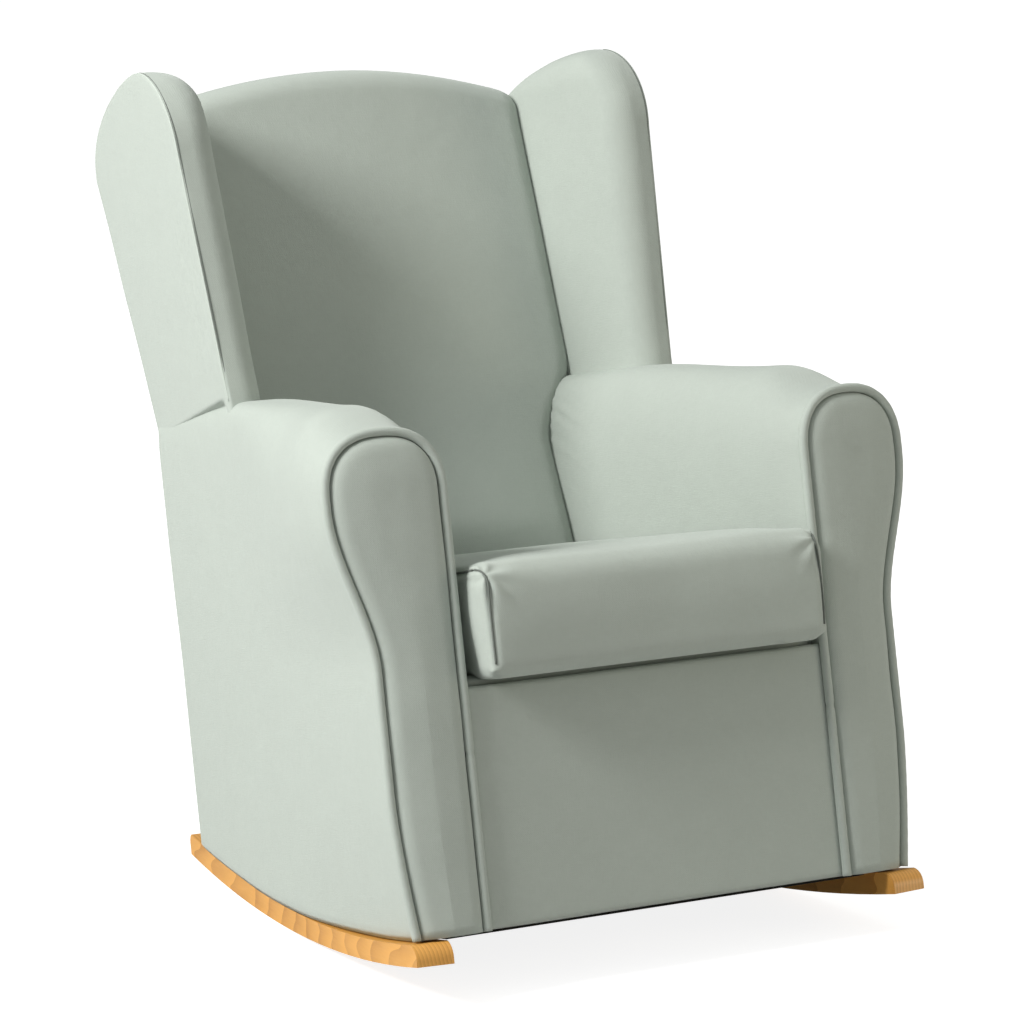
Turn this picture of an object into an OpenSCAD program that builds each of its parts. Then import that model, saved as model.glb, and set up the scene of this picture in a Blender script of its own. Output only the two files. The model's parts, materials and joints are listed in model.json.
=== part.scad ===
// Wing-back nursing rocking chair: a padded wooden frame on two curved rockers.
// The chair is drawn square to its own frame, then leaned back into the
// attitude in which it balances, and stood with its rockers on the plane z = 0.
// Local axes of a side: x outward from the arm's inside face, y to the rear, z up.

/* [Overall] */
// Clear width between the arms at their front
seat_w = 468; // [400:1:560]
// Depth of the padded side, from the arm's front board to the back
side_depth = 598; // [520:1:720]
// Height of the arm's facing above the ground line
arm_h = 623; // [560:1:720]
// Height of the back's crest at its middle
crest_h = 1082; // [960:1:1200]
// Angle by which each side opens towards the front
splay = 5.8; // [0:0.1:9]
// Angle by which the balanced chair leans back
rest_tilt = 12.2; // [6:0.1:14]

/* [Rockers] */
// Radius of the rocker's running edge
rocker_r = 1861; // [1500:1:2600]
// Width of a rocker
rocker_w = 44; // [32:1:50]
// Thickness of a rocker
rocker_t = 26; // [18:1:34]
// How far the rocker's tip reaches ahead of the arm's front board
rocker_front = 26; // [5:1:80]
// How far the rocker's tail reaches behind the side
rocker_rear = 46; // [10:1:120]
// Setback of the running edge's lowest point, square to the chair's own frame
rocker_low_y = 25; // [-20:1:60]
// Height of that lowest point above the ground line of the chair's own frame
rocker_low_z = 43; // [25:1:60]

/* [Arms] */
// Width of the arm's front below the roll
arm_hip_w = 92; // [76:1:120]
// Width of the rolled arm top
arm_roll_w = 136; // [110:1:170]
// Half-height of the arm roll's crown
arm_crown = 66; // [50:1:80]
// Rise of the roll's padding above its facing
roll_rise = 34; // [10:1:50]
// Thickness of the padded facing
facing_t = 14; // [8:1:24]
// Diameter of the piping
piping_d = 10; // [6:1:14]
// Thickness of the arm's inside pad
arm_pad_t = 26; // [16:1:34]

/* [Back and wings] */
// Distance from the rear of the side forward to the back's front surface, at the seat
back_set = 163; // [150:1:200]
// Lean of the back's front surface
back_lean = 13.5; // [6:0.5:20]
// How many degrees less than its front the back's rear surface leans above the arms
rear_taper = 1.5; // [-3:0.1:2]
// Thickness of the back's pad
back_pad_t = 62; // [40:1:80]
// Clearance between the back's pad and the wing's lining at the crest
back_wing_gap = 10; // [6:1:20]
// Fall of the crest from its middle to the wings
crest_fall = 42; // [10:1:70]
// Height of the bend in the back's rear face
bend_h = 654; // [600:1:720]
// Depth of the wing at the arm
wing_depth = 248; // [220:1:300]
// Lean of the wing's front edge
wing_lean = 5; // [0:0.5:14]
// Outward lean of the wing
wing_flare = 3; // [0:0.5:5]
// Height of the wing's peak
wing_h = 1080; // [980:1:1200]
// Thickness of the wing's board
wing_board_t = 18; // [12:1:24]

/* [Seat] */
// Height of the seat deck
deck_h = 342; // [300:1:400]
// Thickness of the loose seat cushion
cushion_t = 132; // [90:1:160]
// How far the cushion stands ahead of the arm's front board
cushion_nose = 58; // [20:1:80]
// Clearance round the cushion
cushion_gap = 6; // [3:0.5:10]
// Thickness of the cushion's cover
cover_t = 4; // [2:0.5:6]
// Number of seat springs
spring_count = 5; // [3:1:7]
// Wire of a seat spring
spring_wire = 3.6; // [3:0.1:4.5]

/* [Frame timber] */
// Thickness of a rail
rail_t = 24; // [18:1:32]
// Height of the seat rails
seat_rail_h = 70; // [50:1:90]
// Height of the curved side rail
side_rail_h = 60; // [45:1:80]
// Depth of a front post
post_d = 44; // [32:1:60]
// Thickness of the arm's front board
front_board_t = 12; // [9:1:18]

/* [Hidden] */

fabric = "#a9bdb0";
fabric_dark = "#8fa294";
pine = "#d9a86a";
timber = "#c9a377";
steel = "#8a8f94";
foam = "#e9dfae";
eps = 0.01;
fit = 0.3;

// Centre of the rocker's circle, seen in the chair's own upright frame
arc_y = rocker_low_y;
arc_z = rocker_low_z + rocker_r;
stand_z = rocker_r + arc_y * sin(rest_tilt) - arc_z * cos(rest_tilt);
function arc_height(y, r) = arc_z - sqrt(r * r - pow(y - arc_y, 2));
body_r = rocker_r - rocker_t;          // underside of the padded body

// Layers of a side, outward from the arm's inside face
frame_in = arm_pad_t + 2;
seam_in = 6;                           // inner seam of the facing
hip_out = seam_in + arm_hip_w;
post_out = hip_out - 18;
panel_out = hip_out + 6;
wing_out = hip_out + 6;
wing_board_in = post_out - wing_board_t;
wing_in = wing_board_in - 10;
rail_in = post_out - 34;
rocker_in = hip_out - rocker_w;
arm_under = arm_h - 183;               // underside of the roll's padding
roll_z = arm_h - arm_crown;            // level of the roll's widest part

// Back
back_z = deck_h + 148;                 // level at which back_y is measured
bend_z = bend_h;
rear_y = side_depth;
back_y = side_depth - back_set;        // depth of the back's front surface at back_z
rear_lean = back_lean - rear_taper;
wing_front = side_depth - wing_depth;
function front_y(z) = back_y + (z - back_z) * tan(back_lean);
function behind_y(z) = rear_y + max(0, z - bend_z) * tan(rear_lean);
panel_t = 10;                          // padded outside back
post_back = panel_t + 8;
crest_side = crest_h - crest_fall;

// Front of the chair
apron_t = 8;
deck_t = 20;
deck_front = apron_t + 1;
rail_front = 16;
post_front = front_board_t;
seat_rail_z = deck_h - deck_t - 10;    // top of the seat rails
cushion_w = seat_w / 2 - cushion_gap;
cushion_top = deck_h + 2 + cushion_t;

// Overall depth, from the rockers' tips to the rear of the wings
tip_y = -rocker_front * cos(splay) + rocker_in * sin(splay);
tip_z = arc_height(-rocker_front, rocker_r);
front_edge = tip_y * cos(rest_tilt) + tip_z * sin(rest_tilt);
corner_z = wing_h - 54;                // wing's rear corner
corner_y = behind_y(corner_z) * cos(splay) + wing_out * sin(splay);
rear_edge = corner_y * cos(rest_tilt) + corner_z * sin(rest_tilt);
centre_y = (front_edge + rear_edge) / 2;

// x of the plane that lies u outside the arm's inside face, at depth y
function side_x(u, y) = seat_w / 2 - y * tan(splay) + u / cos(splay);

module at_rest() {
    translate([0, -centre_y, stand_z]) rotate([-rest_tilt, 0, 0]) children();
}

module at_side(side) {
    mirror([side < 0 ? 1 : 0, 0, 0])
        translate([seat_w / 2, 0, 0]) rotate([0, 0, splay]) children();
}

module place_side(side) {
    at_rest() at_side(side) children();
}

// Extrudes a side profile, drawn in depth and height, from u0 outward to u1
module across(u0, u1) {
    translate([u0, 0, 0]) rotate([90, 0, 90]) linear_extrude(u1 - u0) children();
}

// Extrudes a front profile, drawn in width and height, from depth y0 to y1
module along(y0, y1) {
    translate([0, y1, 0]) rotate([90, 0, 0]) linear_extrude(y1 - y0) children();
}

// Board drawn in plan between the planes u of both sides, from y0 to y1
module between_sides(u, y0, y1, z0, z1) {
    translate([0, 0, z0]) linear_extrude(z1 - z0)
        polygon([
            [-side_x(u, y0), y0], [side_x(u, y0), y0],
            [side_x(u, y1), y1], [-side_x(u, y1), y1]
        ]);
}

// Everything above a circle that is concentric with the rocker
module above_arc(r, top) {
    arc_steps = 40;
    y0 = -120;
    y1 = side_depth + 160;
    polygon(concat(
        [for (i = [0:arc_steps])
            let (y = y0 + (y1 - y0) * i / arc_steps) [y, arc_height(y, r)]],
        [[y1, top], [y0, top]]
    ));
}

module arc_band(r_in, r_out, y0, y1) {
    arc_steps = 32;
    function at(i) = y0 + (y1 - y0) * i / arc_steps;
    polygon(concat(
        [for (i = [0:arc_steps]) [at(i), arc_height(at(i), r_out)]],
        [for (i = [arc_steps:-1:0]) [at(i), arc_height(at(i), r_in)]]
    ));
}

// ---------------------------------------------------------------- rockers

module rocker_profile() {
    tip_round = 18;
    tail_round = 12;
    y0 = -rocker_front;
    y1 = side_depth + rocker_rear;
    grow = 4;                          // planed off again on the running edge
    top0 = arc_height(y0, body_r);
    top1 = arc_height(y1, body_r);
    difference() {
        arc_band(body_r, rocker_r + grow, y0, y1);
        difference() {
            translate([y0 - 1, top0 - tip_round]) square([tip_round + 1, tip_round + 5]);
            translate([y0 + tip_round, top0 - tip_round]) circle(tip_round, $fn = 48);
        }
        difference() {
            translate([y1 - tail_round, top1 - tail_round]) square([tail_round + 1, tail_round + 5]);
            translate([y1 - tail_round, top1 - tail_round]) circle(tail_round, $fn = 48);
        }
    }
}

screw_places = [70, 220, 380, 530];
screw_u = (rocker_in + post_out) / 2;
screw_shank_r = 2.5;
screw_head_r = 5.2;

// A direction square to the rocker's curve, pointing down through the rocker
module at_screw(y) {
    lean = asin((y - arc_y) / rocker_r);
    translate([screw_u, y, arc_height(y, rocker_r)]) rotate([lean, 0, 0]) children();
}

screw_recess = 5;
screw_len = 58;

module screw_hole() {
    translate([0, 0, -10]) cylinder(h = screw_len + 12, r = screw_shank_r + fit, $fn = 32);
    translate([0, 0, -10]) cylinder(h = 10 + screw_recess + 3.2, r = screw_head_r + fit, $fn = 32);
}

module wood_screw() {
    drive_r = 2;
    difference() {
        union() {
            translate([0, 0, screw_recess]) cylinder(h = 3, r = screw_head_r, $fn = 32);
            translate([0, 0, screw_recess]) cylinder(h = screw_len - screw_recess, r = screw_shank_r, $fn = 32);
        }
        translate([0, 0, screw_recess - 1]) cylinder(h = 3, r = drive_r, $fn = 6);
    }
}

// The running edge is planed level, so a rocker meets the floor over its full width
module running_edge(side) {
    plan_angle = atan(tan(splay) / cos(rest_tilt));
    mid = (rocker_in + hip_out) / 2;
    x = seat_w / 2 + mid * cos(splay) - arc_y * sin(splay);
    y = (mid * sin(splay) + arc_y * cos(splay)) * cos(rest_tilt) + arc_z * sin(rest_tilt);
    mirror([side < 0 ? 1 : 0, 0, 0])
        translate([x, y - centre_y, rocker_r]) rotate([0, 0, plan_angle])
            rotate([0, 90, 0]) cylinder(h = 4 * rocker_w, r = rocker_r, center = true, $fn = 720);
}

module rocker(side) {
    color(pine) intersection() {
        place_side(side) difference() {
            across(rocker_in, hip_out) rocker_profile();
            for (y = screw_places) at_screw(y) screw_hole();
        }
        running_edge(side);
    }
}

module rocker_left() {
    rocker(-1);
}

module rocker_right() {
    rocker(1);
}

module rocker_screws() {
    color(steel) for (side = [-1, 1], y = screw_places) place_side(side) at_screw(y) wood_screw();
}

// ---------------------------------------------------------------- side frames

rail_y0 = post_front;
rail_y1 = side_depth - post_back;
rail_r = body_r - side_rail_h;         // top of the curved side rail

module side_rail(side) {
    color(timber) place_side(side) difference() {
        across(rail_in, post_out) arc_band(rail_r, body_r - fit, rail_y0, rail_y1);
        for (y = screw_places) at_screw(y) screw_hole();
    }
}

module side_rail_left() {
    side_rail(-1);
}

module side_rail_right() {
    side_rail(1);
}

arm_rail_z = arm_h - 63;
arm_rail_t = 26;
arm_rail_in = frame_in + 12;

module front_post(side) {
    color(timber) place_side(side) across(frame_in, post_out) intersection() {
        translate([post_front, 0]) square([post_d, arm_rail_z]);
        above_arc(rail_r, arm_rail_z);
    }
}

module front_post_left() {
    front_post(-1);
}

module front_post_right() {
    front_post(1);
}

post_top = crest_side - 42;
post_foot_y = rear_y - post_back - 60;

module back_post_profile() {
    post_gap = back_pad_t + 4;
    upper = front_y(post_top) + post_gap / cos(back_lean);
    knee_z = bend_z - 40;
    polygon([
        [post_foot_y, 60], [rear_y - post_back, 60],
        [rear_y - post_back, bend_z],
        [behind_y(post_top) - post_back, post_top],
        [upper, post_top],
        [max(post_foot_y, front_y(knee_z) + post_gap / cos(back_lean)), knee_z]
    ]);
}

module back_post(side) {
    color(timber) place_side(side) difference() {
        across(frame_in, wing_board_in) intersection() {
            back_post_profile();
            above_arc(rail_r, post_top);
        }
        wing_lean_out() wing_screw_holes();
    }
}

module back_post_left() {
    back_post(-1);
}

module back_post_right() {
    back_post(1);
}

module arm_rail(side) {
    color(timber) place_side(side)
        translate([arm_rail_in, post_front, arm_rail_z])
            cube([wing_board_in - fit - arm_rail_in, post_foot_y - post_front, arm_rail_t]);
}

module arm_rail_left() {
    arm_rail(-1);
}

module arm_rail_right() {
    arm_rail(1);
}

// ---------------------------------------------------------------- arm outline

// Outer edge of the arm's front: a straight hip, then a swell into the roll
function smooth(t) = t * t * (3 - 2 * t);
swell_z0 = roll_z - 190;
swell_z1 = roll_z - 10;
taper_z = 230;
foot_z = arc_height(0, body_r);
foot_taper = 15;
roll_out = 2 + arm_roll_w;

function outer_u(z) =
    z > swell_z0 ? hip_out + (roll_out - hip_out) * smooth(min(1, (z - swell_z0) / (swell_z1 - swell_z0)))
    : z > taper_z ? hip_out
    : hip_out - foot_taper * pow((taper_z - z) / (taper_z - foot_z), 1.5);

// Crown of the roll: half of a superellipse between the two edges
crown_power = 2 / 2.4;
function crown_at(a) = [
    (seam_in + roll_out) / 2 + (roll_out - seam_in) / 2 * sign(cos(a)) * pow(abs(cos(a)), crown_power),
    roll_z + arm_crown * pow(abs(sin(a)), crown_power)
];

module arm_outline(bottom) {
    rise_steps = 24;
    crown_steps = 24;
    polygon(concat(
        [[seam_in, bottom]],
        [for (i = [0:rise_steps - 1])
            let (z = bottom + (roll_z - bottom) * i / rise_steps) [outer_u(z), z]],
        [for (i = [0:crown_steps]) crown_at(180 * i / crown_steps)]
    ));
}

module arm_front_board(side) {
    inset = 5;
    color(timber) place_side(side) along(0, front_board_t) intersection() {
        offset(delta = -inset) arm_outline(foot_z - 20);
        translate([0, foot_z + 2]) square([roll_out, arm_h]);
    }
}

module arm_front_board_left() {
    arm_front_board(-1);
}

module arm_front_board_right() {
    arm_front_board(1);
}

module arm_facing(side) {
    color(fabric_dark) place_side(side) along(-facing_t, -eps) arm_outline(foot_z + 2);
}

module arm_facing_left() {
    arm_facing(-1);
}

module arm_facing_right() {
    arm_facing(1);
}

module arm_piping(side) {
    color(fabric) place_side(side) along(-piping_d - 2, -2) intersection() {
        difference() {
            offset(r = piping_d, $fn = 32) arm_outline(foot_z - 40);
            offset(delta = 0.2) arm_outline(foot_z - 60);
        }
        translate([-2 * piping_d, foot_z + 2]) square([roll_out + 4 * piping_d, arm_h]);
    }
}

module arm_piping_left() {
    arm_piping(-1);
}

module arm_piping_right() {
    arm_piping(1);
}

// ---------------------------------------------------------------- arm padding

roll_end = front_y(roll_z) - 12;

// Section of the padded roll at its full rise, notched for the frame inside it
module arm_roll_section() {
    rows = 10;
    crown_steps = 16;
    lift = 1 + roll_rise / arm_crown;
    difference() {
        polygon(concat(
            [[0, arm_under]],
            [for (i = [0:rows - 1])
                let (z = arm_under + (roll_z - arm_under) * i / rows) [outer_u(z) + roll_proud, z]],
            [for (i = [0:crown_steps])
                let (p = crown_at(180 * i / crown_steps))
                [p[0] + roll_proud, roll_z + (p[1] - roll_z) * lift]],
            [[0, roll_z]]
        ));
        translate([frame_in - fit, arm_under - 1])
            square([post_out - frame_in + 2 * fit, arm_rail_z + arm_rail_t - arm_under + 1 + fit]);
    }
}

roll_proud = 4;                        // stands this far outside its facing
roll_shoulder = 50;                    // length over which the roll rises behind the facing
roll_tail_u = hip_out + 14;            // outer edge where the roll meets the wing

module roll_side_profile() {
    polygon([
        [post_front, arm_under - 1], [post_front, arm_h + roll_proud],
        [post_front + roll_shoulder, arm_h + roll_rise + 1],
        [roll_end, arm_h + roll_rise + 1], [roll_end, arm_under - 1]
    ]);
}

module roll_plan() {
    translate([0, 0, arm_under - 1]) linear_extrude(arm_h + roll_rise - arm_under + 4)
        polygon([
            [-1, post_front], [roll_out + roll_proud + 1, post_front],
            [roll_out + roll_proud + 1, post_front + 3 * roll_shoulder],
            [roll_tail_u, roll_end], [-1, roll_end]
        ]);
}

module arm_roll(side) {
    color(fabric) place_side(side) intersection() {
        along(post_front, roll_end) arm_roll_section();
        across(-1, roll_out + roll_proud + 1) roll_side_profile();
        roll_plan();
    }
}

module arm_roll_left() {
    arm_roll(-1);
}

module arm_roll_right() {
    arm_roll(1);
}

module inside_arm_pad(side) {
    z0 = deck_h - deck_t;
    color(fabric) place_side(side) across(0, arm_pad_t)
        polygon([
            [post_front, z0], [front_y(z0) + 40, z0],
            [front_y(z0) + 40, deck_h], [front_y(deck_h) - 2, deck_h],
            [front_y(arm_under) - 2, arm_under], [post_front, arm_under]
        ]);
}

module inside_arm_pad_left() {
    inside_arm_pad(-1);
}

module inside_arm_pad_right() {
    inside_arm_pad(1);
}

module outside_arm_profile(z0, z1) {
    difference() {
        intersection() {
            translate([post_front, z0]) square([rear_y - post_front, z1 - z0]);
            above_arc(body_r - fit, z1);
        }
        translate([0, arm_under]) square([roll_end + fit, z1]);
    }
}

// Flat outside panel from the rocker up to the roll, and up behind it to the wing
module outside_arm_panel(side) {
    color(fabric) place_side(side) {
        across(post_out, panel_out) outside_arm_profile(0, tongue_z - 1);
        across(post_out + tongue_gap, panel_out) outside_arm_profile(tongue_z - 1, wing_foot - 2);
    }
}

module outside_arm_panel_left() {
    outside_arm_panel(-1);
}

module outside_arm_panel_right() {
    outside_arm_panel(1);
}

// ---------------------------------------------------------------- wings

wing_foot = arm_h + roll_rise + 14;
tongue_z = arm_h - 63;                 // foot of the wing board, beside the back post
// Half-width of the back's pad at the crest, inside the leaning linings of the wings
back_top_w = side_x(wing_in, front_y(crest_side)) + (crest_side - tongue_z) * tan(wing_flare)
    - back_wing_gap;
// Room for the leaning foot of the wing board behind the outside panel
tongue_gap = (wing_foot - tongue_z) * tan(wing_flare) + 1.2;

// The wings lean outward from the foot of their boards
module at_wing(side) {
    place_side(side) wing_lean_out() children();
}

module wing_lean_out() {
    translate([wing_board_in, 0, tongue_z]) rotate([0, wing_flare, 0])
        translate([-wing_board_in, 0, -tongue_z]) children();
}

// Outline of the wing above the arm: a leaning front edge and a humped top
module wing_outline(inset) {
    peak_y = wing_front + 118;
    shoulder_z = wing_h - 96;
    front_top = wing_front + (shoulder_z - wing_foot) * tan(wing_lean);
    nose_steps = 10;
    back_steps = 6;
    corner_steps = 6;
    rear_z = corner_z;
    round_r = 46;
    tail = [behind_y(rear_z) - inset, rear_z - inset];
    polygon(concat(
        [[wing_front + inset, wing_foot]],
        [for (i = [0:nose_steps])
            let (a = 90 * i / nose_steps)
            [peak_y - (peak_y - front_top - inset) * cos(a), shoulder_z + (wing_h - inset - shoulder_z) * sin(a)]],
        [for (i = [1:back_steps])
            let (t = i / back_steps)
            [peak_y + (tail[0] - round_r - peak_y) * t, wing_h - inset - (wing_h - rear_z) * t * t]],
        [for (i = [1:corner_steps])
            let (a = 90 - (90 + rear_lean) * i / corner_steps)
            tail + [round_r * (cos(a) - 1), round_r * (sin(a) - 1)]],
        [[behind_y(wing_foot) - inset, wing_foot]]
    ));
}

module wing_board(side) {
    inset = 22;
    color(timber) at_wing(side) difference() {
        across(wing_board_in, wing_board_in + wing_board_t) union() {
            wing_outline(inset);
            translate([roll_end + 2, tongue_z])
                square([rear_y - inset - roll_end - 2, wing_foot - tongue_z + 1]);
        }
        wing_screw_holes();
    }
}

module wing_board_left() {
    wing_board(-1);
}

module wing_board_right() {
    wing_board(1);
}

wing_screw_z = [tongue_z + 20, tongue_z + 50, tongue_z + 80];
wing_screw_r = 2.2;
wing_screw_len = 40;
wing_head_r = 4.2;
wing_head_t = 2.4;

module at_wing_screws() {
    for (z = wing_screw_z)
        translate([wing_board_in + wing_board_t, rear_y - post_back - 28, z]) rotate([0, -90, 0]) children();
}

module wing_screw_holes() {
    at_wing_screws() {
        translate([0, 0, -3]) cylinder(h = wing_screw_len + 6, r = wing_screw_r + fit, $fn = 24);
        translate([0, 0, -1]) cylinder(h = wing_head_t + 1.2, r = wing_head_r + fit, $fn = 24);
    }
}

module wing_screws() {
    color(steel) for (side = [-1, 1]) at_wing(side) at_wing_screws() {
        translate([0, 0, 1]) cylinder(h = wing_screw_len, r = wing_screw_r, $fn = 24);
        translate([0, 0, 0.2]) cylinder(h = wing_head_t - 0.4, r = wing_head_r, $fn = 24);
    }
}

// Padded lining of the wing, turned round its front and top edges
wing_wrap = 20;

module wing_pad(side) {
    color(fabric) at_wing(side) {
        across(wing_in, wing_board_in) intersection() {
            wing_outline(0);
            polygon([
                [0, wing_foot], [front_y(wing_foot) - 2, wing_foot],
                [front_y(wing_h) - 2, wing_h], [0, wing_h]
            ]);
        }
        across(wing_board_in, wing_out) difference() {
            wing_outline(0);
            wing_outline(wing_wrap);
        }
    }
}

module wing_pad_left() {
    wing_pad(-1);
}

module wing_pad_right() {
    wing_pad(1);
}

module outside_wing_panel(side) {
    color(fabric) at_wing(side)
        across(wing_board_in + wing_board_t, wing_out) wing_outline(wing_wrap + fit);
}

module outside_wing_panel_left() {
    outside_wing_panel(-1);
}

module outside_wing_panel_right() {
    outside_wing_panel(1);
}

// ---------------------------------------------------------------- cross rails

module front_seat_rail() {
    color(timber) at_rest()
        between_sides(frame_in, rail_front, rail_front + rail_t, seat_rail_z - seat_rail_h, seat_rail_z);
}

rear_rail_y = post_foot_y + 12;

module rear_seat_rail() {
    color(timber) at_rest()
        between_sides(frame_in, rear_rail_y, rear_rail_y + rail_t, seat_rail_z - seat_rail_h, seat_rail_z);
}

module front_bottom_rail() {
    z0 = arc_height(rail_front + rail_t, body_r) + 4;
    color(timber) at_rest()
        between_sides(frame_in, rail_front, rail_front + rail_t, z0, z0 + side_rail_h);
}

module rear_bottom_rail() {
    z0 = arc_height(rear_rail_y + rail_t, body_r) + 4;
    color(timber) at_rest()
        between_sides(frame_in, rear_rail_y, rear_rail_y + rail_t, z0, z0 + side_rail_h);
}

// Frame of the back: x across, y through its thickness, z up along its front surface
module at_back() {
    at_rest() translate([0, back_y, back_z]) rotate([-back_lean, 0, 0]) children();
}

function up_back(z) = (z - back_z) / cos(back_lean);
back_frame_y = back_pad_t + 6;

// Half-width of the back between the posts, measured along the back's own height
function post_gap_x(w) =
    side_x(frame_in, back_y + w * sin(back_lean) + (back_frame_y + rail_t) * cos(back_lean));

rail_arch = 26;

module back_top_rail() {
    top_w = up_back(post_top);
    rail_h = 76;
    arch_steps = 16;
    half = post_gap_x(top_w) - 0.5;
    color(timber) at_back() along(back_frame_y, back_frame_y + rail_t)
        polygon(concat(
            [[-half, top_w - rail_h], [half, top_w - rail_h]],
            [for (i = [0:arch_steps])
                let (t = 1 - 2 * i / arch_steps) [half * t, top_w - 6 + rail_arch * (1 - t * t)]]
        ));
}

module back_lower_rail() {
    w0 = up_back(bend_z - 40);
    color(timber) at_back() translate([-post_gap_x(w0 + 50) + 0.5, back_frame_y, w0])
        cube([2 * post_gap_x(w0 + 50) - 1, rail_t, 50]);
}

module corner_blocks() {
    leg = 60;
    block_t = 34;
    z0 = seat_rail_z - block_t - 12;
    color(timber) at_rest() for (side = [-1, 1]) mirror([side < 0 ? 1 : 0, 0, 0]) {
        front_in = rail_front + rail_t;
        translate([0, 0, z0]) linear_extrude(block_t) polygon([
            [side_x(frame_in, front_in) - 1, front_in],
            [side_x(frame_in, front_in) - leg, front_in],
            [side_x(frame_in, front_in + leg) - 1, front_in + leg]
        ]);
        translate([0, 0, z0]) linear_extrude(block_t) polygon([
            [side_x(frame_in, rear_rail_y) - 1, rear_rail_y],
            [side_x(frame_in, rear_rail_y) - leg, rear_rail_y],
            [side_x(frame_in, rear_rail_y - leg) - 1, rear_rail_y - leg]
        ]);
    }
}

// ---------------------------------------------------------------- suspension

spring_y0 = rail_front + 14;
spring_y1 = rear_rail_y + rail_t - 14;
spring_pitch = 68;
spring_z = seat_rail_z + 1.6;
function spring_x(i) = (i - (spring_count - 1) / 2) * spring_pitch;

// Zigzag wire: swings to the left and right in turn along the seat
spring_swings = 16;
spring_swing = 20;

module sinuous_wire() {
    steps = 4 * spring_swings;
    pitch = (spring_y1 - spring_y0) / spring_swings;
    function turn(i) = 180 * i * spring_swings / steps;
    function at(i, off) =
        let (slope = spring_swing * cos(turn(i)) * PI / pitch, n = sqrt(1 + slope * slope))
        [spring_swing * sin(turn(i)) + off / n, spring_y0 + (spring_y1 - spring_y0) * i / steps - off * slope / n];
    linear_extrude(spring_wire)
        polygon(concat(
            [for (i = [0:steps]) at(i, spring_wire / 2)],
            [for (i = [steps:-1:0]) at(i, -spring_wire / 2)]
        ));
}

module seat_springs() {
    color(steel) at_rest() for (i = [0:spring_count - 1]) translate([spring_x(i), 0, spring_z]) sinuous_wire();
}

// Clip that folds over the end of a spring on its rail
module spring_clip() {
    clip_w = 14;
    reach = 9;
    plate = 1.4;
    height = spring_wire + 0.4;
    translate([-clip_w / 2, -reach, 0]) cube([clip_w, 2 * reach, plate]);
    translate([-clip_w / 2, -reach, plate + height]) cube([clip_w, 2 * reach, plate]);
    translate([-clip_w / 2, -reach, plate - eps]) cube([clip_w, plate, height + 2 * eps]);
}

module spring_clips() {
    color(steel) at_rest() for (i = [0:spring_count - 1]) {
        translate([spring_x(i), spring_y0, seat_rail_z]) spring_clip();
        translate([spring_x(i), spring_y1, seat_rail_z]) mirror([0, 1, 0]) spring_clip();
    }
}

// Padding over the top rail, from the back pad to the outside back
module crest_outline(top_w) {
    arch_steps = 16;
    side_w = top_w - crest_fall / cos(back_lean);
    polygon(concat(
        [[-back_top_w, side_w - 60], [back_top_w, side_w - 60]],
        [for (i = [0:arch_steps])
            let (t = 1 - 2 * i / arch_steps) [back_top_w * t, side_w + (top_w - side_w) * (1 - t * t)]]
    ));
}

module crest_pad() {
    wide = 400;
    rail_clear = 10;                   // the pad's foot slopes down towards the posts' rear edges
    top_w = up_back(crest_h);
    foot_w = up_back(post_top) + rail_arch - 6 + rail_clear;
    y0 = back_pad_t + fit;
    rear = panel_t + fit;
    top = crest_h + 60;
    color(fabric) at_rest() intersection() {
        translate([0, back_y, back_z]) rotate([-back_lean, 0, 0]) intersection() {
            along(y0, wide) crest_outline(top_w);
            along(y0 - 1, wide + 1) translate([-wide, foot_w]) square([2 * wide, top_w]);
        }
        translate([-wide, 0, 0]) across(0, 2 * wide) polygon([
            [0, 0], [behind_y(0) - rear, 0], [behind_y(bend_z) - rear, bend_z],
            [behind_y(top) - rear, top], [0, top]
        ]);
    }
}

// Elastic straps behind the back pad
module back_webbing() {
    strap_h = 55;
    strap_t = 2.5;
    levels = [up_back(bend_z - 130), up_back(bend_z + 60), up_back(bend_z + 160), up_back(bend_z + 250)];
    color("#3b3f3c") at_back() for (w = levels)
        translate([-post_gap_x(w) - 8, back_pad_t + 0.5, w])
            cube([2 * post_gap_x(w) + 16, strap_t, strap_h]);
}

module seat_deck() {
    color(fabric_dark) at_rest()
        between_sides(-1, deck_front, front_y(deck_h) - 4, deck_h - deck_t + fit, deck_h);
}

module apron_panel() {
    u = seam_in - piping_d - 1;
    z0 = foot_z + 4;
    color(fabric) at_rest() between_sides(u, 0, apron_t, z0, deck_h - 4);
}

module dust_cover() {
    cloth_t = 2;
    color("#4a4f4b") at_rest() intersection() {
        translate([-400, 0, 0]) across(0, 800) arc_band(body_r + cloth_t, body_r, rail_front, rear_rail_y + rail_t);
        between_sides(rail_in - 2, 0, side_depth, 0, 400);
    }
}

// ---------------------------------------------------------------- back padding

module outside_back_panel() {
    top = crest_h + 60;
    z0 = arc_height(rear_y, body_r) + 2;
    u = wing_board_in - 1;
    color(fabric) at_rest() intersection() {
        translate([-400, 0, 0]) across(0, 800) polygon([
            [rear_y - panel_t, z0], [rear_y, z0], [rear_y, bend_z],
            [behind_y(top), top], [behind_y(top) - panel_t, top], [rear_y - panel_t, bend_z]
        ]);
        linear_extrude(2000) polygon([
            [-side_x(u, 400), 400], [side_x(u, 400), 400],
            [side_x(u, 760), 760], [-side_x(u, 760), 760]
        ]);
        translate([0, back_y, back_z]) rotate([-back_lean, 0, 0]) union() {
            along(0, 400) crest_outline(up_back(crest_h));
            translate([-400, -200, -1000]) cube([800, 800, up_back(crest_side) + 1000 - 40]);
        }
    }
}

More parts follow.
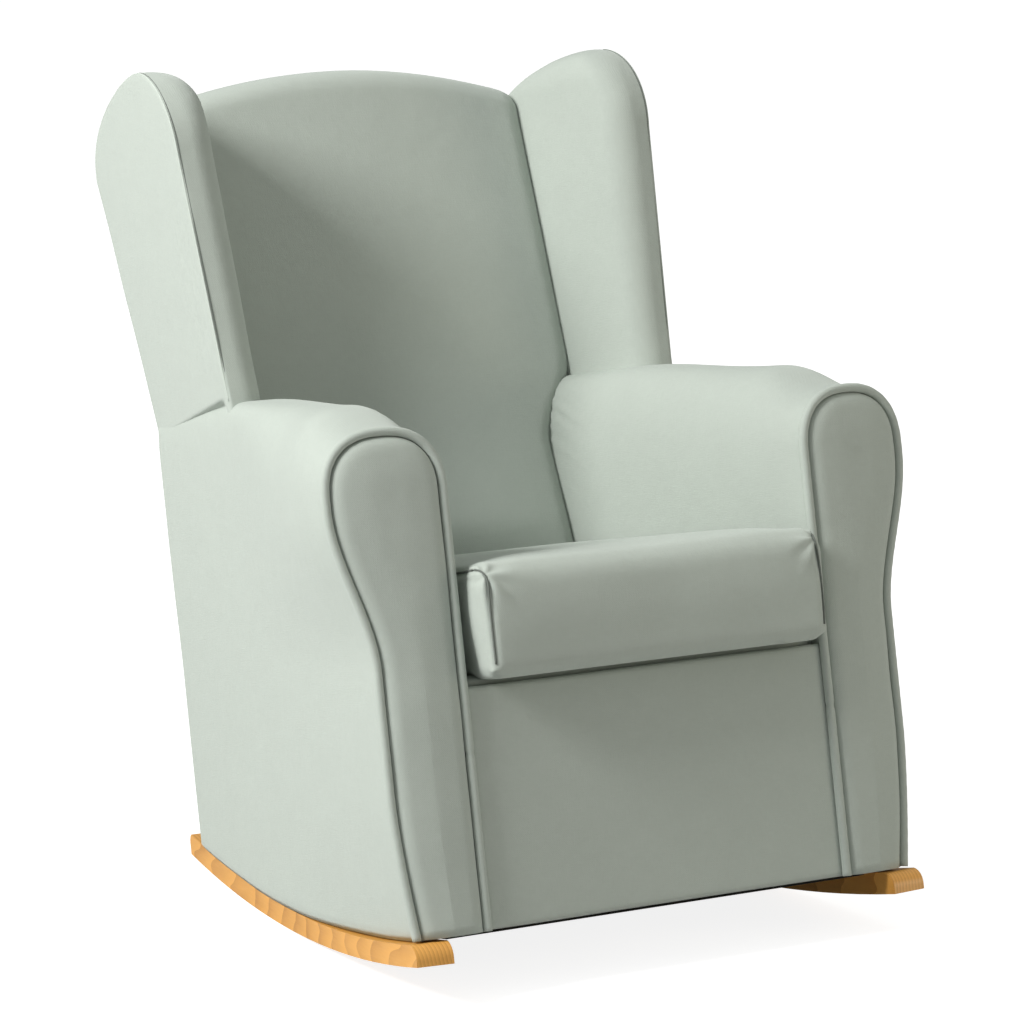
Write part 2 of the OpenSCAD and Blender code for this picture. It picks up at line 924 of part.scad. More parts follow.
module inside_back_pad() {
    foot_w = up_back(deck_h) + 20;
    roll_w = up_back(bend_z);
    side_w = up_back(crest_side);
    top_w = up_back(crest_h);
    arch_steps = 16;
    low = side_x(0, back_y + 20) - 3;
    color(fabric) at_back() along(0, back_pad_t)
        polygon(concat(
            [[-low, foot_w], [low, foot_w], [low, roll_w + 25], [back_top_w - 16, roll_w + 90]],
            [for (i = [0:arch_steps])
                let (t = 1 - 2 * i / arch_steps) [back_top_w * t, side_w + (top_w - side_w) * (1 - t * t)]],
            [[-back_top_w + 16, roll_w + 90], [-low, roll_w + 25]]
        ));
}

// ---------------------------------------------------------------- seat cushion

// Cushion block: straight ahead of the arms, tapered between them, raked at the rear
module cushion_block(shrink) {
    nose_r = 30;
    z0 = deck_h + 2 + shrink;
    z1 = cushion_top - shrink;
    rear = front_y(z0) - cushion_gap - 1 - shrink;
    rear_top = front_y(z1) - cushion_gap - 1 - shrink;
    y0 = -cushion_nose + shrink;
    w = cushion_w - shrink;
    intersection() {
        translate([-400, 0, 0]) across(0, 800) union() {
            polygon([
                [y0 + nose_r, z0], [rear, z0], [rear_top, z1], [y0 + nose_r, z1]
            ]);
            translate([y0 + nose_r, z0 + nose_r]) circle(nose_r, $fn = 32);
            translate([y0 + nose_r, z1 - nose_r]) circle(nose_r, $fn = 32);
            translate([y0, z0 + nose_r]) square([nose_r + 1, z1 - z0 - 2 * nose_r]);
        }
        linear_extrude(1000) polygon([
            [-w, -200], [w, -200], [w, 0], [side_x(0, 500) - cushion_gap - shrink, 500],
            [-side_x(0, 500) + cushion_gap + shrink, 500], [-w, 0]
        ]);
    }
}

module seat_cushion() {
    color(fabric) at_rest() difference() {
        cushion_block(0);
        cushion_block(cover_t);
    }
}

module cushion_core() {
    color(foam) at_rest() cushion_block(cover_t + 0.5);
}

// Closure across the cushion's raked rear face
zip_z = deck_h + 60;
zip_w = 22;
zip_t = 1.4;
zip_len = 300;
slider_t = 3.2;
slider_x = -zip_len / 2 + 12;

module at_zip() {
    at_rest() translate([0, front_y(zip_z) - cushion_gap - 1, zip_z]) rotate([-back_lean, 0, 0]) children();
}

module cushion_zip() {
    teeth_w = 5;
    color(fabric_dark) at_zip() {
        translate([-zip_len / 2, fit, -zip_w / 2]) cube([zip_len, zip_t - fit, zip_w]);
        translate([-zip_len / 2 + 4, zip_t - eps, -teeth_w / 2]) cube([zip_len - 8, 0.8, teeth_w]);
    }
}

module zip_slider() {
    color(steel) at_zip() {
        translate([slider_x - 5, zip_t + 0.8 + fit, -4]) cube([10, 1.4, 8]);
        translate([slider_x - 2.5, zip_t + 0.8 + fit + 1.4 - eps, -22]) cube([5, 0.9, 24]);
    }
}

// ---------------------------------------------------------------- assembly

rocker_left();
rocker_right();
rocker_screws();
side_rail_left();
side_rail_right();
front_post_left();
front_post_right();
back_post_left();
back_post_right();
arm_rail_left();
arm_rail_right();
arm_front_board_left();
arm_front_board_right();
wing_board_left();
wing_board_right();
wing_screws();
front_seat_rail();
rear_seat_rail();
front_bottom_rail();
rear_bottom_rail();
back_top_rail();
back_lower_rail();
corner_blocks();
crest_pad();
seat_springs();
spring_clips();
back_webbing();
seat_deck();
apron_panel();
dust_cover();
outside_back_panel();
inside_back_pad();
inside_arm_pad_left();
inside_arm_pad_right();
arm_roll_left();
arm_roll_right();
outside_arm_panel_left();
outside_arm_panel_right();
wing_pad_left();
wing_pad_right();
outside_wing_panel_left();
outside_wing_panel_right();
arm_facing_left();
arm_facing_right();
arm_piping_left();
arm_piping_right();
seat_cushion();
cushion_core();
cushion_zip();
zip_slider();
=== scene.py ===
"""Upholstery, wood and studio for a wing-back rocking chair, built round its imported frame.

The chair's soft parts are modelled in the chair's own upright frame and then leaned
back with it. Lengths are in metres. A side's local axes: u outward from the arm's
inside face, y to the rear, z up.
"""
import json
import math

import bmesh
import bpy
import numpy as np
from mathutils import Matrix, Vector
from mathutils.bvhtree import BVHTree
from mathutils.kdtree import KDTree
from mathutils.noise import noise


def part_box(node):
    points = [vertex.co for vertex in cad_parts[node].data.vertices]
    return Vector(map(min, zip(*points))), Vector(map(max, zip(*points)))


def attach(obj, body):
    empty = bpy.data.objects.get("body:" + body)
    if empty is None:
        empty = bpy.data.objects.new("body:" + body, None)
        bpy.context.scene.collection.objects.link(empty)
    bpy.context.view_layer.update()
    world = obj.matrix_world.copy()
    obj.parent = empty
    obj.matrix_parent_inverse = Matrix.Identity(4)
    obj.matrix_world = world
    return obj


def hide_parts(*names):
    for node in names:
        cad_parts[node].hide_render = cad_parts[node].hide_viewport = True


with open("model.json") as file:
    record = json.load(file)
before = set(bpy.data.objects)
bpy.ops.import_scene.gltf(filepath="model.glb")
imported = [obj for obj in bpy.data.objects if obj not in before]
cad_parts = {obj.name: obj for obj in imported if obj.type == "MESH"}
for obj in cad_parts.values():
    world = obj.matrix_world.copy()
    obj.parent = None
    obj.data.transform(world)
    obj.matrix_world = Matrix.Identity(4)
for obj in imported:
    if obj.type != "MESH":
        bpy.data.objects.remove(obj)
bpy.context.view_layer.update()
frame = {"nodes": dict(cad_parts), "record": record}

# ---------------------------------------------------------------- sizes

SEAT_W = 0.468
SPLAY = math.radians(5.8)
TILT = math.radians(12.2)
SIDE_DEPTH = 0.598
ARM_H = 0.623
CREST_H = 1.082
ROCKER_R = 1.861
ROCKER_T = 0.026
ROCKER_LOW = (0.025, 0.043)
ARM_CROWN = 0.066
PIPING_R = 0.0052
BACK_Y = 0.435
BACK_LEAN = math.radians(13.5)
REAR_LEAN = math.radians(12.0)
BEND_H = 0.654
CREST_FALL = 0.042
WING_FRONT = 0.350
WING_LEAN = math.radians(5.0)
WING_FLARE = math.radians(3.0)
WING_H = 1.080
DECK_H = 0.342
CUSHION_T = 0.132
CUSHION_NOSE = 0.058
CUSHION_GAP = 0.006
FILL_SHARE = 0.75
CUSHION_CAP = 0.012
CUSHION_BASE = DECK_H + 0.002
CUSHION_TOP = CUSHION_BASE + CUSHION_T
COVER_GRID = 0.006
SEAM_R = 0.0012

HIP_OUT = 0.098
ROLL_OUT = 0.138
SEAM_IN = 0.006
PANEL_OUT = 0.104
ROLL_Z = ARM_H - ARM_CROWN
BACK_Z = DECK_H + 0.148
WING_BOARD_IN = 0.062
WING_IN = 0.052
WING_OUT = 0.104
WING_FOOT = 0.671
TONGUE_Z = 0.560
SEAM_FOOT = 0.665
WING_CAP = 0.125
WING_SHOULDER = WING_H - 0.105
WING_PEAK_Y = WING_FRONT + 0.122
FACING_CREST = 0.0135
PIPING_JOINT_Z = 0.268
RAIL_OUT = 0.044
ARC_Y = ROCKER_LOW[0]
ARC_Z = ROCKER_LOW[1] + ROCKER_R


def arc_height(y, r):
    """Height of a circle concentric with the rockers' running edge."""
    return ARC_Z - np.sqrt(r * r - (np.asarray(y, float) - ARC_Y) ** 2)


BODY_R = ROCKER_R - ROCKER_T
FOOT_Z = float(arc_height(0, BODY_R))


def smooth(t):
    """Eases from 0 to 1."""
    t = np.clip(t, 0.0, 1.0)
    return t * t * (3 - 2 * t)


def front_y(z):
    """Depth of the back's front surface at a height."""
    return BACK_Y + (z - BACK_Z) * math.tan(BACK_LEAN)


def behind_y(z):
    """Depth of the rear of the wings and the outside back at a height."""
    return SIDE_DEPTH + np.maximum(0, np.asarray(z, float) - BEND_H) * math.tan(REAR_LEAN)


def side_x(u, y):
    """x of the plane that lies u outside the arm's inside face, at a depth."""
    return SEAT_W / 2 - y * math.tan(SPLAY) + u / math.cos(SPLAY)


# ---------------------------------------------------------------- frames

def upright():
    """The chair's own frame, placed so that the seat deck lies where the CAD has it."""
    low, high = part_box("seat_deck")
    deck_front, deck_under = 0.009, DECK_H - 0.0197
    c, s = math.cos(TILT), math.sin(TILT)
    shift_y = low.y - (deck_front * c + deck_under * s)
    shift_z = high.z - (DECK_H * c - deck_front * s)
    return Matrix.Translation((0, shift_y, shift_z)) @ Matrix.Rotation(-TILT, 4, "X")


UPRIGHT = upright()


def side_frame(side):
    """A side's own frame, splayed from the seat's front corner; -1 is left and 1 is right."""
    turn = Matrix.Translation((SEAT_W / 2, 0, 0)) @ Matrix.Rotation(SPLAY, 4, "Z")
    return UPRIGHT @ Matrix.Diagonal((side, 1, 1, 1)) @ turn


def wing_frame(side):
    """The side's frame leaned outward about the foot of the wing's board."""
    to = Matrix.Translation((WING_BOARD_IN, 0, TONGUE_Z))
    return side_frame(side) @ to @ Matrix.Rotation(WING_FLARE, 4, "Y") @ to.inverted()


def back_frame():
    """Frame of the back's front surface: x across, y inward to the rear, z along the back."""
    return UPRIGHT @ Matrix.Translation((0, BACK_Y, BACK_Z)) @ Matrix.Rotation(-BACK_LEAN, 4, "X")


# ---------------------------------------------------------------- mesh tools

def new_object(name, verts, faces, place=None):
    """A smooth-shaded mesh object, mapped in its own axes and then put in place."""
    mesh = bpy.data.meshes.new(name)
    mesh.from_pydata([tuple(v) for v in verts], [], faces)
    obj = bpy.data.objects.new(name, mesh)
    bpy.context.scene.collection.objects.link(obj)
    tidy_mesh(obj)
    if place is not None:
        box_map(obj)
        mesh.transform(place)
        if place.determinant() < 0:
            mesh.flip_normals()
    return obj


def tidy_mesh(obj, merge=1e-5):
    """Joins doubled points and turns all faces outward."""
    bm = bmesh.new()
    bm.from_mesh(obj.data)
    bmesh.ops.remove_doubles(bm, verts=bm.verts, dist=merge)
    bmesh.ops.dissolve_degenerate(bm, edges=bm.edges, dist=merge)
    bmesh.ops.recalc_face_normals(bm, faces=bm.faces)
    for f in bm.faces:
        f.smooth = True
    bm.to_mesh(obj.data)
    bm.free()


def box_map(obj):
    """Lays the cloth's threads along the piece's own axes, as a UV map in metres."""
    mesh = obj.data
    layer = mesh.uv_layers.get("threads") or mesh.uv_layers.new(name="threads")
    for poly in mesh.polygons:
        n = poly.normal
        axis = max(range(3), key=lambda k: abs(n[k]))
        a, b = ((1, 2), (0, 2), (0, 1))[axis]
        for li in poly.loop_indices:
            co = mesh.vertices[mesh.loops[li].vertex_index].co
            layer.data[li].uv = (co[a], co[b])


def grid_faces(n, m, start=0, wrap=False):
    """Quads of a grid of n by m points; wrap joins the last row to the first."""
    rows = n if wrap else n - 1
    return [
        (
            start + i * m + j,
            start + ((i + 1) % n) * m + j,
            start + ((i + 1) % n) * m + j + 1,
            start + i * m + j + 1,
        )
        for i in range(rows)
        for j in range(m - 1)
    ]


def grid_normals(p):
    """Unit normals at the points of a grid."""
    du = np.gradient(p, axis=0)
    dv = np.gradient(p, axis=1)
    n = np.cross(du, dv)
    return n / np.maximum(np.linalg.norm(n, axis=2, keepdims=True), 1e-12)


def thick_grid(name, p, thick, place, flip=False):
    """A closed pad: the grid p is its outer face, and its inner face lies thick behind it."""
    n, m = p.shape[:2]
    normals = grid_normals(p) * (-1 if flip else 1)
    inner = p - normals * thick
    verts = np.concatenate([p.reshape(-1, 3), inner.reshape(-1, 3)])
    k = n * m
    faces = grid_faces(n, m) + [f[::-1] for f in grid_faces(n, m, k)]
    rim = (
        [(0, j) for j in range(m)]
        + [(i, m - 1) for i in range(1, n)]
        + [(n - 1, j) for j in range(m - 2, -1, -1)]
        + [(i, 0) for i in range(n - 2, 0, -1)]
    )
    ids = [i * m + j for i, j in rim]
    for a, b in zip(ids, ids[1:] + ids[:1]):
        faces.append((a, b, b + k, a + k))
    return new_object(name, verts, faces, place)


def ripple(p, scale, seed):
    """Smooth noise of about one unit at each point of a grid."""
    off = Vector((seed * 7.3, seed * 3.1, seed * 5.7))
    flat = p.reshape(-1, 3)
    out = [noise(Vector(v) * scale + off) for v in flat]
    return np.array(out).reshape(p.shape[:-1])


def relax(p, amount, scale, seed):
    """Moves a grid along its normals by smooth noise, as stretched padding sits."""
    return p + grid_normals(p) * (amount * ripple(p, scale, seed))[..., None]


def tube(name, path, radius, place, sides=14):
    """A round cord along a path of points, closed at both ends."""
    path = np.asarray(path, float)
    n = len(path)
    tang = np.gradient(path, axis=0)
    tang /= np.linalg.norm(tang, axis=1, keepdims=True)
    radius = np.broadcast_to(radius, (n,))
    ref = np.array([0.0, 1.0, 0.0])
    verts = []
    for i in range(n):
        a = ref - tang[i] * np.dot(ref, tang[i])
        a /= np.linalg.norm(a)
        b = np.cross(tang[i], a)
        for k in range(sides):
            t = 2 * math.pi * k / sides
            verts.append(path[i] + radius[i] * (math.cos(t) * a + math.sin(t) * b))
    faces = [
        (i * sides + k, i * sides + (k + 1) % sides, (i + 1) * sides + (k + 1) % sides, (i + 1) * sides + k)
        for i in range(n - 1)
        for k in range(sides)
    ]
    faces.append(tuple(range(sides)))
    faces.append(tuple((n - 1) * sides + k for k in reversed(range(sides))))
    return new_object(name, verts, faces, place)


def resample(path, step):
    """Points a fixed step apart along a path."""
    path = np.asarray(path, float)
    d = np.concatenate([[0], np.cumsum(np.linalg.norm(np.diff(path, axis=0), axis=1))])
    n = max(2, int(d[-1] / step) + 1)
    t = np.linspace(0, d[-1], n)
    return np.stack([np.interp(t, d, path[:, k]) for k in range(path.shape[1])], axis=1)


def side_name(side):
    return "left" if side < 0 else "right"


# ---------------------------------------------------------------- materials

class Nodes:
    """Short names for building a node material."""

    def __init__(self, name):
        self.mat = bpy.data.materials.new(name)
        self.mat.use_nodes = True
        self.tree = self.mat.node_tree
        self.shader = self.tree.nodes["Principled BSDF"]

    def add(self, kind, **values):
        node = self.tree.nodes.new(kind)
        for key, value in values.items():
            setattr(node, key, value)
        return node

    def link(self, source, target):
        self.tree.links.new(source, target)

    def math(self, operation, a, b=None):
        node = self.add("ShaderNodeMath", operation=operation)
        for k, value in enumerate((a, b)):
            if value is None:
                continue
            if isinstance(value, (int, float)):
                node.inputs[k].default_value = value
            else:
                self.link(value, node.inputs[k])
        return node.outputs[0]

    def mapped(self, source, scale):
        node = self.add("ShaderNodeMapping")
        node.inputs["Scale"].default_value = scale
        self.link(source, node.inputs["Vector"])
        return node.outputs[0]

    def noise(self, vector, scale, detail=3.0, rough=0.5):
        node = self.add("ShaderNodeTexNoise")
        node.inputs["Scale"].default_value = scale
        node.inputs["Detail"].default_value = detail
        node.inputs["Roughness"].default_value = rough
        self.link(vector, node.inputs["Vector"])
        return node.outputs["Fac"]

    def ramp(self, value, stops):
        node = self.add("ShaderNodeValToRGB")
        ramp = node.color_ramp
        while len(ramp.elements) < len(stops):
            ramp.elements.new(0.5)
        for element, (at, colour) in zip(ramp.elements, stops):
            element.position = at
            element.color = (*colour, 1)
        self.link(value, node.inputs["Fac"])
        return node.outputs["Color"]

    def bump(self, height, strength, distance, normal=None):
        node = self.add("ShaderNodeBump")
        node.inputs["Strength"].default_value = strength
        node.inputs["Distance"].default_value = distance
        self.link(height, node.inputs["Height"])
        if normal is not None:
            self.link(normal, node.inputs["Normal"])
        return node.outputs[0]


def woven(name, base, pitch=0.0011, contrast=0.05, fuzz=0.35):
    """Plain-woven upholstery cloth: crossed threads, slubs, soft mottling and a light nap."""
    m = Nodes(name)
    uv = m.add("ShaderNodeUVMap", uv_map="threads").outputs[0]
    split = m.add("ShaderNodeSeparateXYZ")
    m.link(uv, split.inputs[0])
    turn = math.pi / pitch
    across = m.math("SINE", m.math("MULTIPLY", split.outputs[0], turn))
    along = m.math("SINE", m.math("MULTIPLY", split.outputs[1], turn))
    weave = m.math("MULTIPLY", across, along)
    slub_a = m.noise(m.mapped(uv, (60, 900, 1)), 1.0, 4.0, 0.6)
    slub_b = m.noise(m.mapped(uv, (900, 60, 1)), 1.0, 4.0, 0.6)
    slubs = m.math("ADD", slub_a, slub_b)
    cloud = m.noise(uv, 26.0, 4.0, 0.6)
    patch = m.noise(uv, 130.0, 3.0, 0.6)
    shade = m.math("MULTIPLY", m.math("SUBTRACT", slubs, 1.0), contrast * 2.6)
    shade = m.math("ADD", shade, m.math("MULTIPLY", m.math("SUBTRACT", cloud, 0.5), contrast * 1.5))
    shade = m.math("ADD", shade, m.math("MULTIPLY", m.math("SUBTRACT", patch, 0.5), contrast * 1.2))
    shade = m.math("ADD", shade, m.math("MULTIPLY", weave, contrast * 0.35))
    level = m.math("ADD", shade, 0.5)
    dark = tuple(c * 0.62 for c in base)
    light = tuple(min(1.0, c * 1.38) for c in base)
    m.link(m.ramp(level, [(0.0, dark), (1.0, light)]), m.shader.inputs["Base Color"])
    fine = m.bump(weave, 0.35, 0.0003)
    knots = m.bump(slubs, 0.45, 0.0006, fine)
    soft = m.bump(cloud, 0.25, 0.004, knots)
    m.link(soft, m.shader.inputs["Normal"])
    rough = m.math("ADD", m.math("MULTIPLY", slubs, 0.06), 0.84)
    m.link(rough, m.shader.inputs["Roughness"])
    m.shader.inputs["Specular IOR Level"].default_value = 0.18
    m.shader.inputs["Sheen Weight"].default_value = fuzz
    m.shader.inputs["Sheen Roughness"].default_value = 0.55
    m.shader.inputs["Sheen Tint"].default_value = (0.93, 1.0, 0.95, 1)
    return m.mat


def wood(name, light, dark, ring=0.0046, gloss=0.42, coat=0.25):
    """Lacquered softwood sawn with its rings upright: lines on the ends, broad figure on the sides."""
    m = Nodes(name)
    co = m.add("ShaderNodeTexCoord").outputs["Object"]
    bent = m.noise(m.mapped(co, (9.0, 5.0, 14.0)), 1.0, 2.0, 0.5)
    shift = m.add("ShaderNodeVectorMath", operation="ADD")
    spread = m.add("ShaderNodeVectorMath", operation="SCALE")
    m.link(bent, spread.inputs[0])
    spread.inputs["Scale"].default_value = 0.016
    m.link(co, shift.inputs[0])
    m.link(spread.outputs[0], shift.inputs[1])
    rings = m.add("ShaderNodeTexWave", wave_type="BANDS", bands_direction="X", wave_profile="SAW")
    m.link(shift.outputs[0], rings.inputs["Vector"])
    rings.inputs["Scale"].default_value = 0.314 / ring
    rings.inputs["Distortion"].default_value = 0.6
    rings.inputs["Detail"].default_value = 2.0
    rings.inputs["Detail Scale"].default_value = 0.5
    fibre = m.noise(m.mapped(co, (700, 22, 700)), 1.0, 4.0, 0.65)
    patch = m.noise(m.mapped(co, (16, 9, 16)), 1.0, 2.0, 0.5)
    level = m.math("MULTIPLY", rings.outputs["Fac"], 0.42)
    level = m.math("ADD", level, m.math("MULTIPLY", fibre, 0.22))
    level = m.math("ADD", level, m.math("MULTIPLY", patch, 0.42))
    mid = tuple(a * 0.6 + b * 0.4 for a, b in zip(light, dark))
    m.link(m.ramp(level, [(0.30, light), (0.66, mid), (0.98, dark)]), m.shader.inputs["Base Color"])
    m.link(m.bump(level, 0.2, 0.0005), m.shader.inputs["Normal"])
    m.link(m.math("ADD", m.math("MULTIPLY", fibre, 0.12), gloss - 0.06), m.shader.inputs["Roughness"])
    m.shader.inputs["Coat Weight"].default_value = coat
    m.shader.inputs["Coat Roughness"].default_value = 0.25
    return m.mat


def metal(name, colour, rough):
    """Steel with a fine brushed grain."""
    m = Nodes(name)
    co = m.add("ShaderNodeTexCoord").outputs["Object"]
    brushed = m.noise(m.mapped(co, (900, 60, 900)), 1.0, 3.0, 0.6)
    tone = m.ramp(brushed, [(0.2, tuple(c * 0.8 for c in colour)), (0.8, colour)])
    m.link(tone, m.shader.inputs["Base Color"])
    m.link(m.math("ADD", m.math("MULTIPLY", brushed, 0.2), rough), m.shader.inputs["Roughness"])
    m.link(m.bump(brushed, 0.15, 0.0002), m.shader.inputs["Normal"])
    m.shader.inputs["Metallic"].default_value = 1.0
    return m.mat


def foam(name, colour):
    """Open-celled upholstery foam."""
    m = Nodes(name)
    co = m.add("ShaderNodeTexCoord").outputs["Object"]
    cells = m.add("ShaderNodeTexVoronoi")
    cells.inputs["Scale"].default_value = 700
    m.link(co, cells.inputs["Vector"])
    # The colour is darker in the hollow of each cell, where the bump sinks: painted shade.
    tone = m.ramp(cells.outputs["Distance"], [(0.0, tuple(c * 0.75 for c in colour)), (0.6, colour)])
    m.link(tone, m.shader.inputs["Base Color"])
    m.link(m.bump(cells.outputs["Distance"], 0.5, 0.0008), m.shader.inputs["Normal"])
    m.shader.inputs["Roughness"].default_value = 0.95
    return m.mat


SAGE = (0.420, 0.464, 0.417)
MATERIALS = {
    "sage_fabric": woven("sage_fabric", SAGE),
    "deck_cloth": woven("deck_cloth", tuple(c * 0.78 for c in SAGE), pitch=0.0014, fuzz=0.15),
    "dust_cloth": woven("dust_cloth", (0.022, 0.024, 0.022), pitch=0.0022, contrast=0.1, fuzz=0.1),
    "webbing": woven("webbing", (0.018, 0.022, 0.019), pitch=0.003, contrast=0.12, fuzz=0.1),
    # A lighter copy of the cover for the wing's seam welt: a painted highlight along its ridge.
    "welt_highlight": woven("welt_highlight", tuple(c * 1.12 for c in SAGE), pitch=0.0007, fuzz=0.4),
    "seam_shadow": woven("seam_shadow", tuple(c * 0.35 for c in SAGE), pitch=0.0011, fuzz=0.0),
    "foam": foam("foam", (0.80, 0.70, 0.42)),
    "pine_rocker": wood("pine_rocker", (0.74, 0.375, 0.082), (0.34, 0.135, 0.017), coat=0.15),
    "frame_timber": wood("frame_timber", (0.62, 0.42, 0.22), (0.36, 0.20, 0.08), 0.009, 0.7, 0.0),
    "zinc_steel": metal("zinc_steel", (0.62, 0.63, 0.65), 0.28),
    "spring_steel": metal("spring_steel", (0.20, 0.21, 0.23), 0.38),
}


def dress(obj, material, body="chair"):
    """Gives a piece its material and its body."""
    obj.data.materials.clear()
    obj.data.materials.append(MATERIALS[material])
    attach(obj, body)


# ---------------------------------------------------------------- arm outline

def outer_u(z):
    """Outer edge of the arm's front: foot taper, straight hip and the swell into the roll."""
    z = np.asarray(z, float)
    z0, z1, taper = ROLL_Z - 0.190, ROLL_Z - 0.010, 0.230
    swell = HIP_OUT + (ROLL_OUT - HIP_OUT) * smooth((z - z0) / (z1 - z0))
    foot = HIP_OUT - 0.015 * np.clip((taper - z) / (taper - FOOT_Z), 0, 1) ** 1.5
    return np.where(z > z0, swell, foot)


def crown(u0, u1, z, height, power, steps, outer_power=None):
    """Half superellipse from u0 over the top to u1, whose outer half may be squarer."""
    a = np.linspace(0, math.pi, steps)
    mid, half = (u0 + u1) / 2, (u1 - u0) / 2
    c, s = np.cos(a), np.sin(a)
    power = np.where(c < 0, outer_power or power, power)
    u = mid - half * np.sign(c) * np.abs(c) ** (2 / power)
    return np.stack([u, z + height * np.abs(s) ** (2 / power)], axis=1)


def facing_outline(rows=46, steps=40, grow=0.0, bottom=None):
    """Edge of the arm's front from its inner foot over the crown to its outer foot."""
    z0 = FOOT_Z + 0.003 if bottom is None else bottom
    z = np.linspace(z0, ROLL_Z, rows, endpoint=False)
    inner = np.stack([np.full(rows, SEAM_IN - grow), z], axis=1)
    outer = np.stack([outer_u(z) + grow, z], axis=1)[::-1]
    top = crown(SEAM_IN - grow, ROLL_OUT + grow, ROLL_Z, ARM_CROWN + grow, 2.4, steps)
    return np.concatenate([inner, top, outer])


# ---------------------------------------------------------------- arms

def seam_z(y):
    """Height of the seam between the arm and the wing on the outer side."""
    return 0.688 - 0.150 * (np.asarray(y, float) - 0.375)


def arm_section(y, n_in, n_top, n_out):
    """Section of the arm's cover at a depth: up the inside, over the roll, down the outside."""
    merge = smooth((y - 0.16) / 0.22)
    rise = 0.003 + 0.034 * smooth((y + 0.004) / 0.105) + 0.021 * smooth((y - 0.05) / 0.33)
    tuck = 0.004 * (1 - smooth((y + 0.006) / 0.012))
    swell = 0.008 * smooth((y - 0.002) / 0.055) * (1 - 0.7 * smooth((y - 0.30) / 0.16))
    full = 1 - 0.93 * smooth((y - 0.03) / 0.36)
    z_in = np.linspace(0.326, ROLL_Z, n_in, endpoint=False)
    inside = np.stack([0.001 + tuck - swell * smooth((z_in - 0.44) / (ROLL_Z - 0.44)), z_in], axis=1)
    skin = 0.0045 + 0.002 * smooth(y / 0.1)
    u1 = HIP_OUT + skin + (ROLL_OUT - HIP_OUT) * full - tuck
    top = crown(
        0.001 + tuck - swell, u1, ROLL_Z, ARM_CROWN + rise - tuck, 2.3, n_top, 2.35 + 5.0 * merge
    )
    z_low = float(arc_height(y, BODY_R)) + 0.0015
    z_out = np.linspace(ROLL_Z, z_low, n_out + 1)[1:]
    u_out = HIP_OUT + skin + (outer_u(z_out) - HIP_OUT) * full - tuck
    outside = np.stack([u_out, z_out], axis=1)
    outside[-1, 0] -= 0.004
    return np.concatenate([inside, top, outside])


def gathers(p):
    """Small wrinkles where the arm's inside is pulled into the corner beside the back."""
    reach = front_y(p[..., 2]) - p[..., 1]
    near = np.exp(-((reach - 0.012) / 0.030) ** 2)
    level = np.exp(-((p[..., 2] - 0.618) / 0.050) ** 2)
    slope = p[..., 2] + 0.55 * reach
    folds = np.sin(slope * 2 * math.pi / 0.0165) + 0.5 * np.sin(slope * 2 * math.pi / 0.027 + 1.0)
    inside = smooth((0.06 - p[..., 0]) / 0.03)
    return 0.0017 * near * level * folds * inside


def spread(start, middle, end, edge=0.02):
    """Shares from 0 to 1, closer together at both ends."""
    first = np.linspace(0, edge, start, endpoint=False)
    mid = np.linspace(edge, 1 - edge, middle, endpoint=False)
    return np.concatenate([first, mid, np.linspace(1 - edge, 1, end)])


def make_arm(side):
    """Padded cover of the arm: its inside, its rolled top and its outside, in one."""
    n_in, n_top, n_out = 34, 56, 66
    front = -0.005
    depths = np.linspace(front, 0.66, 160)
    table = np.array([arm_section(y, n_in, n_top, n_out) for y in depths])
    i = np.arange(n_in + n_top + n_out)
    to_out = smooth((i - n_in - 0.45 * n_top) / (0.35 * n_top))
    z_rear = table[110, :, 1]
    end = (front_y(z_rear) + 0.030) * (1 - to_out) + behind_y(z_rear) * to_out
    y = front + spread(7, 66, 6)[None, :] * (end - front)[:, None]
    p = np.stack([
        np.array([np.interp(y[k], depths, table[:, k, 0]) for k in i]),
        y,
        np.array([np.interp(y[k], depths, table[:, k, 1]) for k in i]),
    ], axis=2)
    curl = smooth((p[..., 1] - (behind_y(p[..., 2]) - 0.010)) / 0.010) * to_out[:, None]
    p[..., 0] -= 0.007 * curl
    p = relax(p, 0.0012, 9.0, 3 + side)
    p[..., 0] -= gathers(p)
    arm = thick_grid(f"arm_cover_{side_name(side)}", p, 0.009, side_frame(side))
    dress(arm, "sage_fabric")
    nodes = ["arm_roll_", "inside_arm_pad_", "outside_arm_panel_"]
    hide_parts(*[n + side_name(side) for n in nodes])


def make_facing(side):
    """The padded keyhole panel on the arm's front."""
    edge = facing_outline(grow=-0.0015)
    spine_u = (SEAM_IN + outer_u(np.minimum(edge[:, 1], ROLL_Z))) / 2
    spine_u = np.where(edge[:, 1] > ROLL_Z, (SEAM_IN + ROLL_OUT) / 2, spine_u)
    spine = np.stack([spine_u, np.minimum(edge[:, 1], ROLL_Z)], axis=1)
    rings = 1 - np.concatenate([[0, 0.0, 0.02, 0.05, 0.09, 0.14, 0.2], np.linspace(0.28, 1, 11)])
    p = np.zeros((len(rings), len(edge), 3))
    for r, ring in enumerate(rings):
        flat = spine + (edge - spine) * ring
        dist = np.linalg.norm(edge - flat, axis=1)
        round_over = np.sqrt(np.clip(1 - (1 - np.clip(dist / 0.017, 0, 1)) ** 2, 0, 1))
        lift = 0.0030 + FACING_CREST * round_over * 0.82
        lift += 0.0035 * smooth(dist / 0.05)
        if r == 0:
            lift = np.zeros_like(lift)
        p[r] = np.stack([flat[:, 0], -lift, flat[:, 1]], axis=1)
    p[2:] = relax(p[2:], 0.0007, 14.0, 11 + side)
    n, m = p.shape[:2]
    verts = p.reshape(-1, 3)
    faces = grid_faces(n, m)
    faces.append(tuple(range(m)))
    bottom = [(r * m, r * m + m - 1) for r in range(n)]
    for (a0, a1), (b0, b1) in zip(bottom, bottom[1:]):
        faces.append((a0, a1, b1, b0))
    panel = new_object(f"arm_facing_pad_{side_name(side)}", verts, faces, side_frame(side))
    dress(panel, "sage_fabric")
    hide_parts(f"arm_facing_{side_name(side)}")


